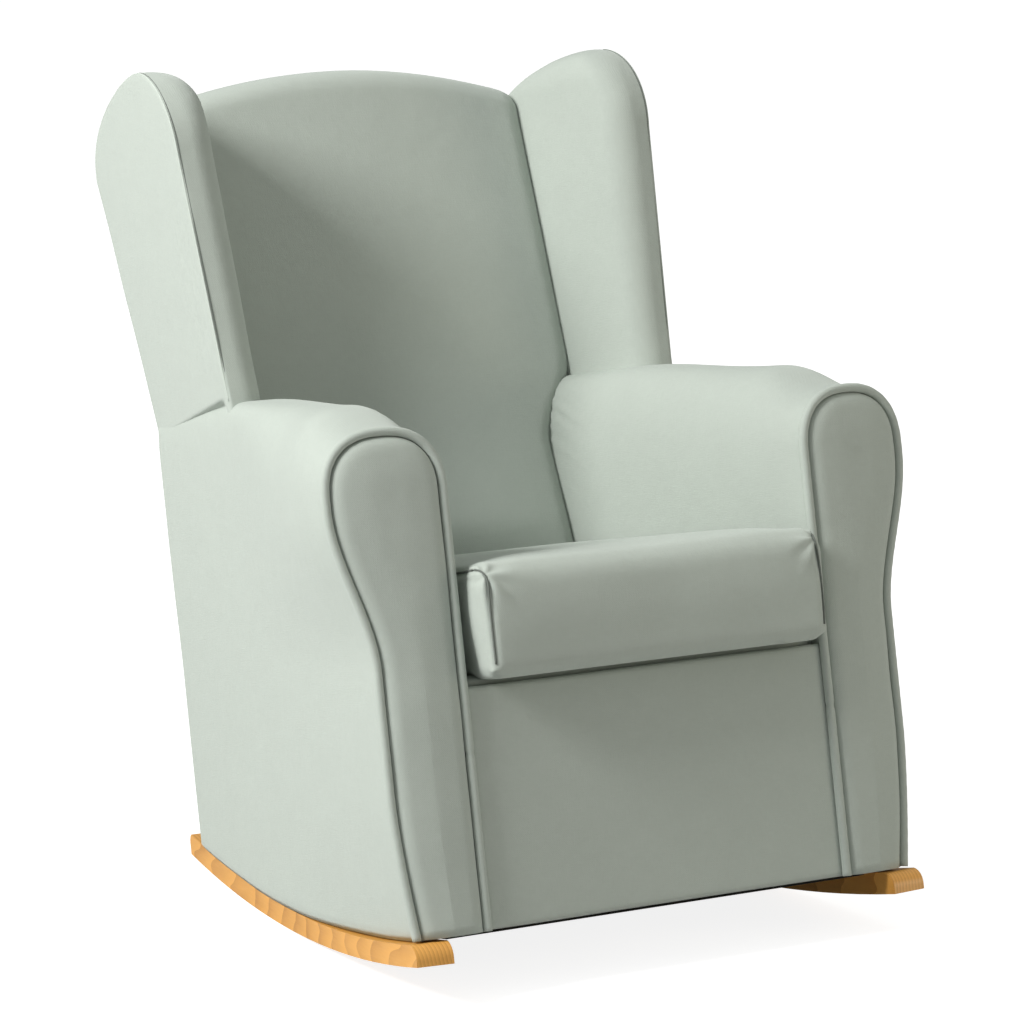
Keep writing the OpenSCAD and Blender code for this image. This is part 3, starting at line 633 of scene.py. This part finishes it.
def make_piping(side):
    """Cloth-covered cord round the facing, joined low on its inner side."""
    edge = resample(facing_outline(rows=60, steps=60, grow=0.0035), 0.005)
    path = np.stack([edge[:, 0], np.full(len(edge), -0.0062), edge[:, 1]], axis=1)
    radius = np.full(len(path), PIPING_R)
    gap = np.abs(path[:, 2] - PIPING_JOINT_Z) + (path[:, 0] > 0.02) * 1.0
    radius = radius - 0.0009 * np.exp(-(gap / 0.003) ** 2)
    swell = 1 + 0.02 * np.sin(np.arange(len(path)) * 1.9)
    cord = tube(f"arm_piping_cord_{side_name(side)}", path, radius * swell, side_frame(side))
    dress(cord, "sage_fabric")
    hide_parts(f"arm_piping_{side_name(side)}")
    # Painted seam shadow: a dark strip in the groove between the cord and the facing, in a darkened copy of
    # the cover.
    welt = facing_outline(rows=60, steps=60, grow=-0.0012)
    line = resample(welt, 0.006)
    seam = np.stack([line[:, 0], np.full(len(line), -0.0030), line[:, 1]], axis=1)
    strip = tube(f"arm_piping_shadow_strip_{side_name(side)}", seam, 0.0022, side_frame(side), sides=8)
    dress(strip, "seam_shadow")


# ---------------------------------------------------------------- wings

def wing_edges(z):
    """Front and rear depth of the wing at a height, with its humped and rounded top."""
    z = np.asarray(z, float)
    lean = WING_FRONT + (z - WING_FOOT) * math.tan(WING_LEAN)
    nose_front = WING_FRONT + (WING_SHOULDER - WING_FOOT) * math.tan(WING_LEAN)
    t = np.clip((z - WING_SHOULDER) / (WING_H - WING_SHOULDER), 0, 1)
    nose = WING_PEAK_Y - (WING_PEAK_Y - nose_front) * np.sqrt(np.clip(1 - t ** 2.0, 0, 1))
    front = np.where(z < WING_SHOULDER, lean, nose)
    fall = WING_H - WING_CAP
    q = np.clip((z - fall) / (WING_H - fall), 0, 1)
    rear_at = behind_y(fall)
    round_off = WING_PEAK_Y + (rear_at + 0.004 - WING_PEAK_Y) * np.clip(1 - q ** 2.3, 0, 1) ** 0.62
    rear = np.where(z < fall, behind_y(z), np.minimum(round_off, behind_y(z)))
    return front, rear


def wing_faces(z):
    """Outer and inner face of the wing at a height, in the wing's own leaning frame."""
    rise = np.clip((z - SEAM_FOOT) / (WING_H - SEAM_FOOT), 0, 1)
    outer = WING_OUT + 0.003 - 0.0095 * (1 - rise)
    inner = WING_IN + 0.002
    rim = 0.010
    over = 1 - np.clip((WING_H - z) / 0.046, 0, 1)
    inner_top = outer - rim - (outer - rim - inner) * np.sqrt(1 - over ** 2)
    return outer, inner_top


def wing_section(z, n_side=44, n_end=20):
    """Closed section of the wing at a height, from the outer rear corner round the front."""
    y0, y1 = (float(v) for v in wing_edges(z))
    length = max(y1 - y0, 0.002)
    out_u, in_u = (float(v) for v in wing_faces(z))
    mid, half = (out_u + in_u) / 2, (out_u - in_u) / 2
    r_seam = min(0.005, half * 0.5, length * 0.25)
    r_in = min(0.030, half * 1.2, length * 0.45)
    r_rear = min(0.010, half * 0.5, length * 0.25)
    r_turn = min(0.012 + 0.026 * float(smooth((z - 0.90) / 0.06)), half * 1.2, length * 0.45)
    pts = []

    def line(a, b, n):
        for k in range(n):
            s = k / n
            pts.append((a[0] + (b[0] - a[0]) * s, a[1] + (b[1] - a[1]) * s))

    def arc(cx, cy, r, a0, a1, n):
        for k in range(n):
            a = math.radians(a0 + (a1 - a0) * k / n)
            pts.append((cx + r * math.cos(a), cy + r * math.sin(a)))

    line((out_u, y1 - r_rear), (out_u, y0 + r_seam), n_side)
    arc(out_u - r_seam, y0 + r_seam, r_seam, 0, -90, n_end // 2)
    line((out_u - r_seam, y0), (in_u + r_in, y0), 8)
    arc(in_u + r_in, y0 + r_in, r_in, -90, -180, n_end)
    line((in_u, y0 + r_in), (in_u, y1 - r_turn), n_side)
    arc(in_u + r_turn, y1 - r_turn, r_turn, 180, 90, n_end // 2)
    line((in_u + r_turn, y1), (out_u - r_rear, y1), 8)
    arc(out_u - r_rear, y1 - r_rear, r_rear, 90, 0, n_end // 2)
    pts = np.array(pts)
    lengthwise = np.clip((pts[:, 1] - y0) / length, 0, 1)
    belly = np.sin(lengthwise * math.pi) ** 0.7 * min(1, length / 0.1)
    pts[:, 0] = np.where(pts[:, 0] > mid, pts[:, 0] + 0.002 * belly, pts[:, 0] - 0.009 * belly)
    return pts


def wing_levels():
    """Heights of the wing's sections, closer together at its foot and over its top."""
    foot = np.linspace(WING_FOOT - 0.030, WING_FOOT + 0.030, 26, endpoint=False)
    low = np.linspace(WING_FOOT + 0.030, WING_H - WING_CAP, 48, endpoint=False)
    a = np.linspace(0, math.pi / 2, 40)
    return np.concatenate([foot, low, WING_H - WING_CAP + WING_CAP * np.sin(a)])


def wing_grid():
    """Sections of the wing, one per level, whose foot follows the seam above the arm."""
    sections = []
    for z in wing_levels():
        pts = wing_section(min(z, WING_H - 0.00004))
        foot = 1 - smooth((z - (WING_FOOT - 0.030)) / 0.02)
        level = np.full(len(pts), z)
        outside = pts[:, 0] > (WING_IN + WING_OUT) / 2
        drop = seam_z(pts[:, 1]) - WING_FOOT
        level = level + drop * (1 - smooth((z - WING_FOOT + 0.03) / 0.12))
        level = np.where(outside, level, level + 0.004 * foot)
        below = smooth((seam_z(pts[:, 1]) + 0.001 - level) / 0.007)
        behind = smooth((pts[:, 1] - pts[:, 1].min() - 0.006) / 0.030)
        tuck = np.where(pts[:, 0] > WING_OUT - 0.012, 0.009 * below * behind, 0.0)
        sections.append(np.stack([pts[:, 0] - tuck, pts[:, 1], level], axis=1))
    return np.array(sections)


def pull_lines(p, side):
    """Faint upright tension lines where the cover is drawn to the front seam."""
    y0 = wing_edges(p[..., 2])[0]
    reach = p[..., 1] - y0
    near = np.exp(-((reach - 0.035) / 0.030) ** 2) * (p[..., 0] > 0.09)
    wave = np.sin(reach * 2 * math.pi / 0.021 + 9 * ripple(p, 5.0, 40 + side))
    fade = smooth((p[..., 2] - 0.70) / 0.06) * smooth((WING_H - 0.13 - p[..., 2]) / 0.08)
    return 0.0011 * near * wave * fade


def make_wing(side):
    """The wing's lining and outer panel as one closed cover."""
    p = wing_grid()
    n, m = p.shape[:2]
    p[..., 0] += pull_lines(p, side)
    base = p.copy()
    closed = np.concatenate([p, p[:, :1]], axis=1)
    p = relax(closed, 0.0010, 10.0, 21 + side)[:, :-1]
    p[:, 0] = base[:, 0] * 0.5 + p[:, 0] * 0.5
    verts = list(p.reshape(-1, 3))
    faces = [
        (i * m + k, i * m + (k + 1) % m, (i + 1) * m + (k + 1) % m, (i + 1) * m + k)
        for i in range(n - 1)
        for k in range(m)
    ]
    faces.append(tuple(range(m)))
    faces.append(tuple((n - 1) * m + k for k in reversed(range(m))))
    wing = new_object(f"wing_cover_{side_name(side)}", verts, faces, wing_frame(side))
    dress(wing, "sage_fabric")
    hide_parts(f"wing_pad_{side_name(side)}", f"outside_wing_panel_{side_name(side)}")


def wing_seam_path():
    """Runs up the wing's outer front edge from above the arm to its peak."""
    z = wing_levels()[:-3]
    z = z[z > WING_FOOT + 0.012]
    front = wing_edges(z)[0]
    outer = wing_faces(z)[0]
    return np.stack([outer - 0.0016, front + 0.0014, z], axis=1)


def make_wing_seam(side):
    """Fine seam where the lining meets the outer panel: a shadow line beside a welt."""
    path = resample(wing_seam_path(), 0.004)
    # The welt is dressed lighter than the cover, as a painted highlight on its ridge.
    welt = tube(f"wing_seam_{side_name(side)}", path, SEAM_R, wing_frame(side), sides=8)
    dress(welt, "welt_highlight")
    line = path + np.array([-0.0021, -0.0009, 0.0])
    shade = tube(f"wing_seam_line_{side_name(side)}", line, 0.0008, wing_frame(side), sides=8)
    dress(shade, "seam_shadow")


# ---------------------------------------------------------------- back

def flare(z):
    """How far the wings have leaned outward at a height."""
    return math.tan(WING_FLARE) * np.maximum(0.0, z - TONGUE_Z)


def back_half_width(w):
    """Half-width of the inside back at a height along it: it widens above the arms."""
    z = BACK_Z + w * math.cos(BACK_LEAN)
    low = side_x(0.010, front_y(z))
    high = side_x(WING_IN + 0.004, front_y(z)) + flare(z)
    return low + (high - low) * smooth((z - 0.600) / 0.11)


def make_inside_back():
    """Padded back: crowned face, soft side edges, rolled over the crest to the rear."""
    roll_r, depth = 0.040, 0.112
    w_top = (CREST_H - BACK_Z) / math.cos(BACK_LEAN) + 0.008
    w_low = (DECK_H + 0.022 - BACK_Z) / math.cos(BACK_LEAN)
    face = [(0.0, w) for w in np.linspace(w_low, w_top - roll_r, 74, endpoint=False)]
    arc = [
        (roll_r - roll_r * math.cos(a), w_top - roll_r + roll_r * math.sin(a))
        for a in np.linspace(0, math.pi / 2, 16, endpoint=False)
    ]
    over = [(y, w_top - 0.10 * (y - roll_r)) for y in np.linspace(roll_r, depth - 0.014, 10)]
    down = [(depth - 0.004, w_top - 0.016), (depth - 0.002, w_top - 0.030), (depth - 0.004, w_top - 0.05)]
    path = np.array(face + arc + over + down)
    n, m = len(path), 84
    a = np.linspace(-1, 1, m)
    across = np.sign(a) * (1 - (1 - np.abs(a)) ** 1.35)
    p = np.zeros((n, m, 3))
    for j, (y, w) in enumerate(path):
        half = back_half_width(min(w, w_top - 0.02))
        x = across * half
        edge = half - np.abs(x)
        r = 0.034
        sink = r - np.sqrt(np.clip(r * r - np.clip(r - edge, 0, r) ** 2, 0, None))
        near_top = smooth((w - w_top + 0.16) / 0.16)
        drop = CREST_FALL * (x / half) ** 2 * near_top
        belly = 0.010 * np.cos(x / half * math.pi / 2) ** 0.8
        low_belly = 0.010 * math.exp(-((w + 0.02) / 0.13) ** 2) * np.cos(x / half * math.pi / 2)
        on_face = 1 - smooth(y / roll_r)
        above_seat = 0.25 + 0.75 * smooth((w + 0.035) / 0.06)
        p[j, :, 0] = x
        p[j, :, 1] = y + (sink - (belly + low_belly) * above_seat) * on_face + 0.004
        p[j, :, 2] = w - drop - sink * 0.35 * (1 - on_face)
    p = relax(p, 0.0016, 6.0, 31)
    back = thick_grid("inside_back_cover", p, 0.010, back_frame(), flip=True)
    dress(back, "sage_fabric")
    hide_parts("inside_back_pad", "crest_pad")


def make_outside_back():
    """Tight rear panel from the crest down to the rockers."""
    z_low = float(arc_height(SIDE_DEPTH, BODY_R)) + 0.004
    below_bend = np.linspace(z_low, BEND_H, 50, endpoint=False)
    rows = np.concatenate([below_bend, np.linspace(BEND_H, CREST_H - 0.01, 46)])
    m = 70
    a = np.linspace(-1, 1, m)
    p = np.zeros((len(rows), m, 3))
    for j, z in enumerate(rows):
        y = float(behind_y(z))
        wide = PANEL_OUT - 0.016 + (WING_IN + 0.012 - PANEL_OUT + 0.016) * smooth((z - 0.935) / 0.05)
        half = side_x(wide, y) + float(flare(z))
        top = smooth((z - CREST_H + 0.09) / 0.09)
        x = a * half
        edge = half - np.abs(x)
        sink = 0.010 * (1 - np.sqrt(np.clip(1 - (1 - np.clip(edge / 0.012, 0, 1)) ** 2, 0, 1)))
        p[j, :, 0] = x
        p[j, :, 1] = y + 0.004 * np.cos(a * math.pi / 2) - sink
        p[j, :, 2] = z - CREST_FALL * a ** 2 * top
    p = relax(p, 0.0012, 5.0, 33)
    panel = thick_grid("outside_back_cover", p, 0.006, UPRIGHT)
    dress(panel, "sage_fabric")
    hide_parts("outside_back_panel")


# ---------------------------------------------------------------- seat front and deck

def pillow_panel(name, x0, x1, z0, z1, y_face, depth, edge, place, cols=90, rows=60):
    """Upright padded panel whose edges roll back, facing the front."""
    x = x0 + (x1 - x0) * spread(8, cols - 16, 8, 0.06)
    b = spread(6, rows - 12, 6, 0.06)
    p = np.zeros((rows, cols, 3))
    for j, v in enumerate(b):
        z = z0 + (z1 - z0) * v
        d = np.minimum(np.minimum(x - x0, x1 - x), min(z - z0, z1 - z))
        roll = np.sqrt(np.clip(1 - (1 - np.clip(d / edge, 0, 1)) ** 2, 0, 1))
        p[j] = np.stack([x, y_face + edge * 0.5 * (1 - roll), np.full(cols, z)], axis=1)
    return thick_grid(name, relax(p, 0.0008, 7.0, len(name)), depth, place, flip=True)


def make_apron():
    """Covered panel across the front under the cushion."""
    half = side_x(0.002, 0.0)
    panel = pillow_panel(
        "apron_cover", -half, half, FOOT_Z + 0.003, DECK_H - 0.003, -0.0035, 0.007, 0.007, UPRIGHT
    )
    dress(panel, "sage_fabric")
    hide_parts("apron_panel")


def make_deck():
    """Plain cloth and thin wadding over the springs."""
    n, m = 60, 60
    y = np.linspace(0.010, float(front_y(DECK_H)) - 0.006, n)
    a = np.linspace(-1, 1, m)
    p = np.zeros((n, m, 3))
    for i, depth in enumerate(y):
        half = side_x(-0.002, depth)
        edge = np.minimum(half * (1 - np.abs(a)), min(depth - y[0], y[-1] - depth) + 0.0005)
        crown_up = 0.006 * smooth(edge / 0.12) - 0.004 * (1 - smooth(edge / 0.012))
        p[i] = np.stack([a * half, np.full(m, depth), DECK_H - 0.004 + crown_up], axis=1)
    deck = thick_grid("seat_deck_cover", p, 0.012, UPRIGHT)
    dress(deck, "deck_cloth")
    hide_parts("seat_deck")


def make_dust_cover():
    """Thin black cloth stapled under the frame, following the curve of the side rails."""
    n, m = 50, 40
    y0, y1 = 0.018, 0.535
    y = np.linspace(y0, y1, n)
    a = np.linspace(-1, 1, m)
    p = np.zeros((n, m, 3))
    for i, depth in enumerate(y):
        half = side_x(RAIL_OUT, depth)
        sag = 0.0015 * np.cos(a * math.pi / 2) * math.sin(math.pi * i / (n - 1))
        z = float(arc_height(depth, BODY_R)) - 0.0006 - sag
        p[i] = np.stack([a * half, np.full(m, depth), z], axis=1)
    cloth = thick_grid("dust_cover_cloth", p, -0.0008, UPRIGHT)
    dress(cloth, "dust_cloth")
    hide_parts("dust_cover")


# ---------------------------------------------------------------- seat cushion

def cushion_plan():
    """The cushion's half-width at its front and at its rear, and the depth of its rear."""
    rear = float(front_y(DECK_H)) - CUSHION_GAP - 0.002
    w = SEAT_W / 2 - CUSHION_GAP
    back_w = side_x(0, rear) - CUSHION_GAP
    return w, back_w, rear


def cushion_block(shrink):
    """A plain closed block of the cushion's size, less shrink all round, as a fine grid."""
    w, back_w, rear = cushion_plan()
    z0, z1 = CUSHION_BASE + shrink, CUSHION_TOP - shrink
    nose = 0.026
    y0 = -CUSHION_NOSE + shrink
    rear_low, rear_top = rear - shrink, rear - shrink + CUSHION_T * math.tan(BACK_LEAN)
    low_nose = 0.010
    side = []
    for a in np.linspace(-90, -180, 8):
        r = math.radians(a)
        side.append((y0 + low_nose + low_nose * math.cos(r), z0 + low_nose + low_nose * math.sin(r)))
    for a in np.linspace(180, 90, 12):
        r = math.radians(a)
        side.append((y0 + nose + nose * math.cos(r), z1 - nose + nose * math.sin(r)))
    side.append((rear_top, z1))
    side.append((rear_low, z0))
    bm = bmesh.new()
    rings = []
    for sx in (-1, 1):
        ring = []
        for y, z in side:
            width = w if y < 0 else w + (back_w - w) * min(1.0, y / rear)
            ring.append(bm.verts.new((sx * (width - shrink), y, z)))
        rings.append(ring)
    k = len(side)
    for i in range(k):
        bm.faces.new((rings[0][i], rings[0][(i + 1) % k], rings[1][(i + 1) % k], rings[1][i]))
    bm.faces.new(rings[0])
    bm.faces.new(list(reversed(rings[1])))
    bmesh.ops.recalc_face_normals(bm, faces=bm.faces)
    mesh = bpy.data.meshes.new("seat_cushion_cover")
    bm.to_mesh(mesh)
    bm.free()
    obj = bpy.data.objects.new("seat_cushion_cover", mesh)
    bpy.context.scene.collection.objects.link(obj)
    return obj


def apply_modifiers(obj):
    """Makes the object's modified shape its own mesh."""
    deps = bpy.context.evaluated_depsgraph_get()
    mesh = bpy.data.meshes.new_from_object(obj.evaluated_get(deps))
    obj.modifiers.clear()
    old = obj.data
    obj.data = mesh
    bpy.data.meshes.remove(old)


def level_out(obj, shift, rounds):
    """Averages the shifts of neighbouring points, so that the cover bulges without buckling."""
    ends = np.array([e.vertices[:] for e in obj.data.edges])
    count = np.bincount(ends.ravel(), minlength=len(shift))[:, None]
    for _ in range(rounds):
        total = np.zeros_like(shift)
        np.add.at(total, ends[:, 0], shift[ends[:, 1]])
        np.add.at(total, ends[:, 1], shift[ends[:, 0]])
        shift = (shift + total / count) / 2
    return shift


def inflate(obj, pressure, cap, frames=20, stiffness=18.0):
    """Fills a closed cover by cloth simulation, then limits how far each point moved."""
    rest = np.array([v.co for v in obj.data.vertices])
    cloth = obj.modifiers.new("fill", "CLOTH")
    cloth.settings.use_pressure = True
    cloth.settings.uniform_pressure_force = pressure
    cloth.settings.tension_stiffness = stiffness
    cloth.settings.compression_stiffness = stiffness
    cloth.settings.bending_stiffness = 2.0
    cloth.settings.effector_weights.gravity = 0
    cloth.point_cache.frame_start = 1
    cloth.point_cache.frame_end = frames
    scene = bpy.context.scene
    for f in range(1, frames + 1):
        scene.frame_set(f)
    apply_modifiers(obj)
    scene.frame_set(1)
    moved = np.array([v.co for v in obj.data.vertices]) - rest
    dist = np.linalg.norm(moved, axis=1, keepdims=True)
    moved *= np.minimum(1.0, cap / np.maximum(dist, 1e-9))
    moved = level_out(obj, moved, 70) * FILL_SHARE
    for v, co in zip(obj.data.vertices, rest + moved):
        v.co = co


def remesh(obj, size):
    """Rebuilds a closed mesh as even quads."""
    mod = obj.modifiers.new("even", "REMESH")
    mod.mode = "VOXEL"
    mod.voxel_size = size
    apply_modifiers(obj)


def smooth_mesh(obj, factor, rounds):
    mod = obj.modifiers.new("soften", "SMOOTH")
    mod.factor = factor
    mod.iterations = rounds
    apply_modifiers(obj)


def flatten_cushion(obj):
    """Keeps the base flat on the deck and the block inside its gaps; its nose stands wider."""
    z_low = DECK_H + 0.003
    for v in obj.data.vertices:
        if v.co.z < z_low + 0.004:
            v.co.z = z_low
        limit = side_x(0, max(0.0, v.co.y)) - 0.0045 + 0.004 * float(smooth((-0.016 - v.co.y) / 0.02))
        v.co.x = max(-limit, min(limit, v.co.x))
        v.co.y = max(v.co.y, -CUSHION_NOSE - 0.010)
        v.co.y = min(v.co.y, float(front_y(v.co.z)) - CUSHION_GAP - 0.001)


def side_edge(sign, rear):
    """The cushion's side edge from its rear top corner forward and down round the nose."""
    z1, z0 = CUSHION_TOP, DECK_H + 0.020
    y0, nose = -CUSHION_NOSE, 0.028
    pts = [(y, z1, 0.0, 1.0) for y in np.linspace(rear + 0.020, y0 + nose, 60, endpoint=False)]
    for a in np.linspace(0, math.pi / 2, 12, endpoint=False):
        c, s = math.cos(a), math.sin(a)
        pts.append((y0 + nose - nose * s, z1 - nose + nose * c, -s, c))
    pts += [(y0, z, -1.0, 0.0) for z in np.linspace(z1 - nose, z0, 16)]
    out = []
    for y, z, ny, nz in pts:
        half = side_x(0, max(0.0, y)) - CUSHION_GAP
        out.append((Vector((sign * half, y, z)), Vector((sign, ny, nz)).normalized()))
    return out


def sew_cushion(obj):
    """Draws the cover in along the two side seams and gives the path for a dark cord of painted seam shadow
    in each.
    """
    rear = cushion_plan()[2]
    shadow_seams = []
    for sign in (-1, 1):
        tree = BVHTree.FromObject(obj, bpy.context.evaluated_depsgraph_get())
        path = []
        for at, out in side_edge(sign, rear):
            hit = tree.ray_cast(at + out * 0.05, -out)[0]
            if hit is not None:
                path.append(hit - out * SEAM_R)
        for _ in range(3):
            middle = [(a + b * 2 + c) / 4 for a, b, c in zip(path, path[1:], path[2:])]
            path = [path[0]] + middle + [path[-1]]
        seam = resample([tuple(q) for q in path], 0.004)
        near = KDTree(len(seam))
        for i, q in enumerate(seam):
            near.insert(q, i)
        near.balance()
        for v in obj.data.vertices:
            q, _, dist = near.find(v.co)
            if dist < 0.016:
                v.co -= v.normal * (0.0022 * math.exp(-((dist / 0.0045) ** 2)))
        shadow_seams.append((sign, seam))
    return shadow_seams


def pucker(obj):
    """Small folds where the cover turns over the cushion's front corners."""
    corner_y, corner_z = -CUSHION_NOSE + 0.012, DECK_H + CUSHION_T - 0.014
    for v in obj.data.vertices:
        gap = abs(v.co.x) - (SEAT_W / 2 - CUSHION_GAP - 0.012)
        dist = math.sqrt(gap ** 2 + (v.co.y - corner_y) ** 2 + (v.co.z - corner_z) ** 2)
        if dist < 0.07:
            angle = math.atan2(v.co.z - corner_z, gap)
            wave = math.sin(angle * 7.0 + 1.0) * math.exp(-((dist - 0.020) / 0.018) ** 2)
            v.co -= v.normal * (0.0014 * wave)


def make_cushion():
    """Loose box cushion: its block is filled by cloth simulation, then sewn and puckered."""
    cushion = cushion_block(0.005)
    remesh(cushion, COVER_GRID)
    inflate(cushion, 4.0, CUSHION_CAP)
    smooth_mesh(cushion, 0.5, 2)
    flatten_cushion(cushion)
    mod = cushion.modifiers.new("fine", "SUBSURF")
    mod.levels = 1
    mod.render_levels = 1
    apply_modifiers(cushion)
    shadow_seams = sew_cushion(cushion)
    pucker(cushion)
    for poly in cushion.data.polygons:
        poly.use_smooth = True
    box_map(cushion)
    cushion.data.transform(UPRIGHT)
    dress(cushion, "sage_fabric", body="cushion")
    # Each side seam gets a thin dark cord sunk in its groove, in a darkened copy of the cover: painted seam
    # shadow.
    for sign, seam in shadow_seams:
        welt = tube(f"cushion_seam_shadow_{side_name(sign)}", seam, SEAM_R, UPRIGHT, sides=8)
        dress(welt, "seam_shadow", body="cushion")
    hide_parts("seat_cushion", "cushion_core")


# ---------------------------------------------------------------- rockers

def make_rocker(side):
    """The CAD rocker with its sharp edges eased."""
    name = f"rocker_{side_name(side)}"
    obj = bpy.data.objects.new(f"rocker_runner_{side_name(side)}", frame["nodes"][name].data.copy())
    bpy.context.scene.collection.objects.link(obj)
    bm = bmesh.new()
    bm.from_mesh(obj.data)
    bmesh.ops.remove_doubles(bm, verts=bm.verts, dist=1e-5)
    bmesh.ops.dissolve_limit(bm, angle_limit=math.radians(0.4), verts=bm.verts, edges=bm.edges)
    bm.to_mesh(obj.data)
    bm.free()
    mod = obj.modifiers.new("eased", "BEVEL")
    mod.width = 0.0018
    mod.segments = 3
    mod.limit_method = "ANGLE"
    mod.angle_limit = math.radians(35)
    apply_modifiers(obj)
    for poly in obj.data.polygons:
        poly.use_smooth = True
    soft = obj.modifiers.new("shade", "WEIGHTED_NORMAL")
    soft.keep_sharp = True
    apply_modifiers(obj)
    dress(obj, "pine_rocker")
    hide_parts(name)


# ---------------------------------------------------------------- CAD nodes that stay

def dress_cad():
    """Gives each CAD node the material of its slot."""
    slots = {row["node"]: row["material_slot"] for row in frame["record"]["subparts"]}
    for name, obj in frame["nodes"].items():
        obj.data.materials.clear()
        obj.data.materials.append(MATERIALS[slots[name]])


# ---------------------------------------------------------------- studio

AIM = Vector((-0.2142, 0.0066, 0.5436))
CAMERA = Vector((-2.8410, -4.4397, 1.5316))
ROLL = math.radians(0.36)
LENS = 172.5


def studio():
    """Camera at the chair's three-quarter view, a pale floor and soft light from the left."""
    scene = bpy.context.scene
    scene.view_settings.view_transform = "Standard"
    shift = Vector((0, UPRIGHT.translation.y, 0))
    cam = bpy.data.objects.new("camera", bpy.data.cameras.new("camera"))
    scene.collection.objects.link(cam)
    cam.data.lens = LENS
    cam.data.sensor_width = 36
    turn = (AIM - CAMERA).to_track_quat("-Z", "Y").to_matrix().to_4x4()
    cam.matrix_world = Matrix.Translation(CAMERA + shift) @ turn @ Matrix.Rotation(ROLL, 4, "Z")
    scene.camera = cam

    reach = 60
    corners = [(-reach, -reach, 0), (reach, -reach, 0), (reach, reach, 0), (-reach, reach, 0)]
    floor = new_object("floor", corners, [(0, 1, 2, 3)])
    floor.data.materials.append(floor_paint())
    sky()
    area("key_light", (-3.9, -0.1, 3.2), (0, 0.1, 0.55), 1.5, 282, (1.0, 0.99, 0.985))
    area("front_fill", (2.1, -2.2, 0.8), (0.1, 0, 0.4), 1.2, 17, (1.0, 0.93, 0.78))


def camera_share(tree, low, high):
    """A level that is high where the camera looks and low where light bounces."""
    path = tree.nodes.new("ShaderNodeLightPath")
    level = tree.nodes.new("ShaderNodeMapRange")
    tree.links.new(path.outputs["Is Camera Ray"], level.inputs["Value"])
    for socket, value in (("To Min", low), ("To Max", high)):
        if isinstance(value, (int, float)):
            level.inputs[socket].default_value = value
        else:
            tree.links.new(value, level.inputs[socket])
    return level.outputs["Result"]


def floor_paint():
    """Matt pale studio floor, lit through so that it stays pale far from the lights."""
    paint = Nodes("floor_paint")
    co = paint.add("ShaderNodeTexCoord").outputs["Object"]
    tone = paint.ramp(paint.noise(co, 3.0), [(0.0, (0.42, 0.42, 0.42)), (1.0, (0.45, 0.45, 0.45))])
    paint.link(tone, paint.shader.inputs["Base Color"])
    paint.shader.inputs["Roughness"].default_value = 0.9
    paint.shader.inputs["Specular IOR Level"].default_value = 0.1
    paint.shader.inputs["Emission Color"].default_value = (1, 1, 1, 1)
    paint.link(camera_share(paint.tree, 0.05, 0.86), paint.shader.inputs["Emission Strength"])
    return paint.mat


def sky():
    """White surroundings, brighter overhead than at the horizon."""
    world = bpy.data.worlds.new("studio")
    world.use_nodes = True
    bpy.context.scene.world = world
    tree = world.node_tree
    back = tree.nodes["Background"]
    back.inputs["Color"].default_value = (0.985, 1, 0.985, 1)
    coord = tree.nodes.new("ShaderNodeTexCoord")
    split = tree.nodes.new("ShaderNodeSeparateXYZ")
    tree.links.new(coord.outputs["Generated"], split.inputs[0])
    dome = tree.nodes.new("ShaderNodeMapRange")
    dome.inputs["To Min"].default_value = 0.09
    dome.inputs["To Max"].default_value = 0.62
    tree.links.new(split.outputs["Z"], dome.inputs["Value"])
    tree.links.new(camera_share(tree, dome.outputs["Result"], 1.0), back.inputs["Strength"])


def area(name, at, to, size, power, colour):
    """A square area light aimed at a point."""
    lamp = bpy.data.lights.new(name, "AREA")
    lamp.energy = power
    lamp.size = size
    lamp.color = colour
    obj = bpy.data.objects.new(name, lamp)
    bpy.context.scene.collection.objects.link(obj)
    obj.location = at
    obj.rotation_euler = (Vector(to) - Vector(at)).to_track_quat("-Z", "Y").to_euler()


# ---------------------------------------------------------------- build

dress_cad()
for which in (-1, 1):
    make_arm(which)
    make_facing(which)
    make_piping(which)
    make_wing(which)
    make_wing_seam(which)
    make_rocker(which)
make_inside_back()
make_outside_back()
make_apron()
make_deck()
make_dust_cover()
make_cushion()
studio()
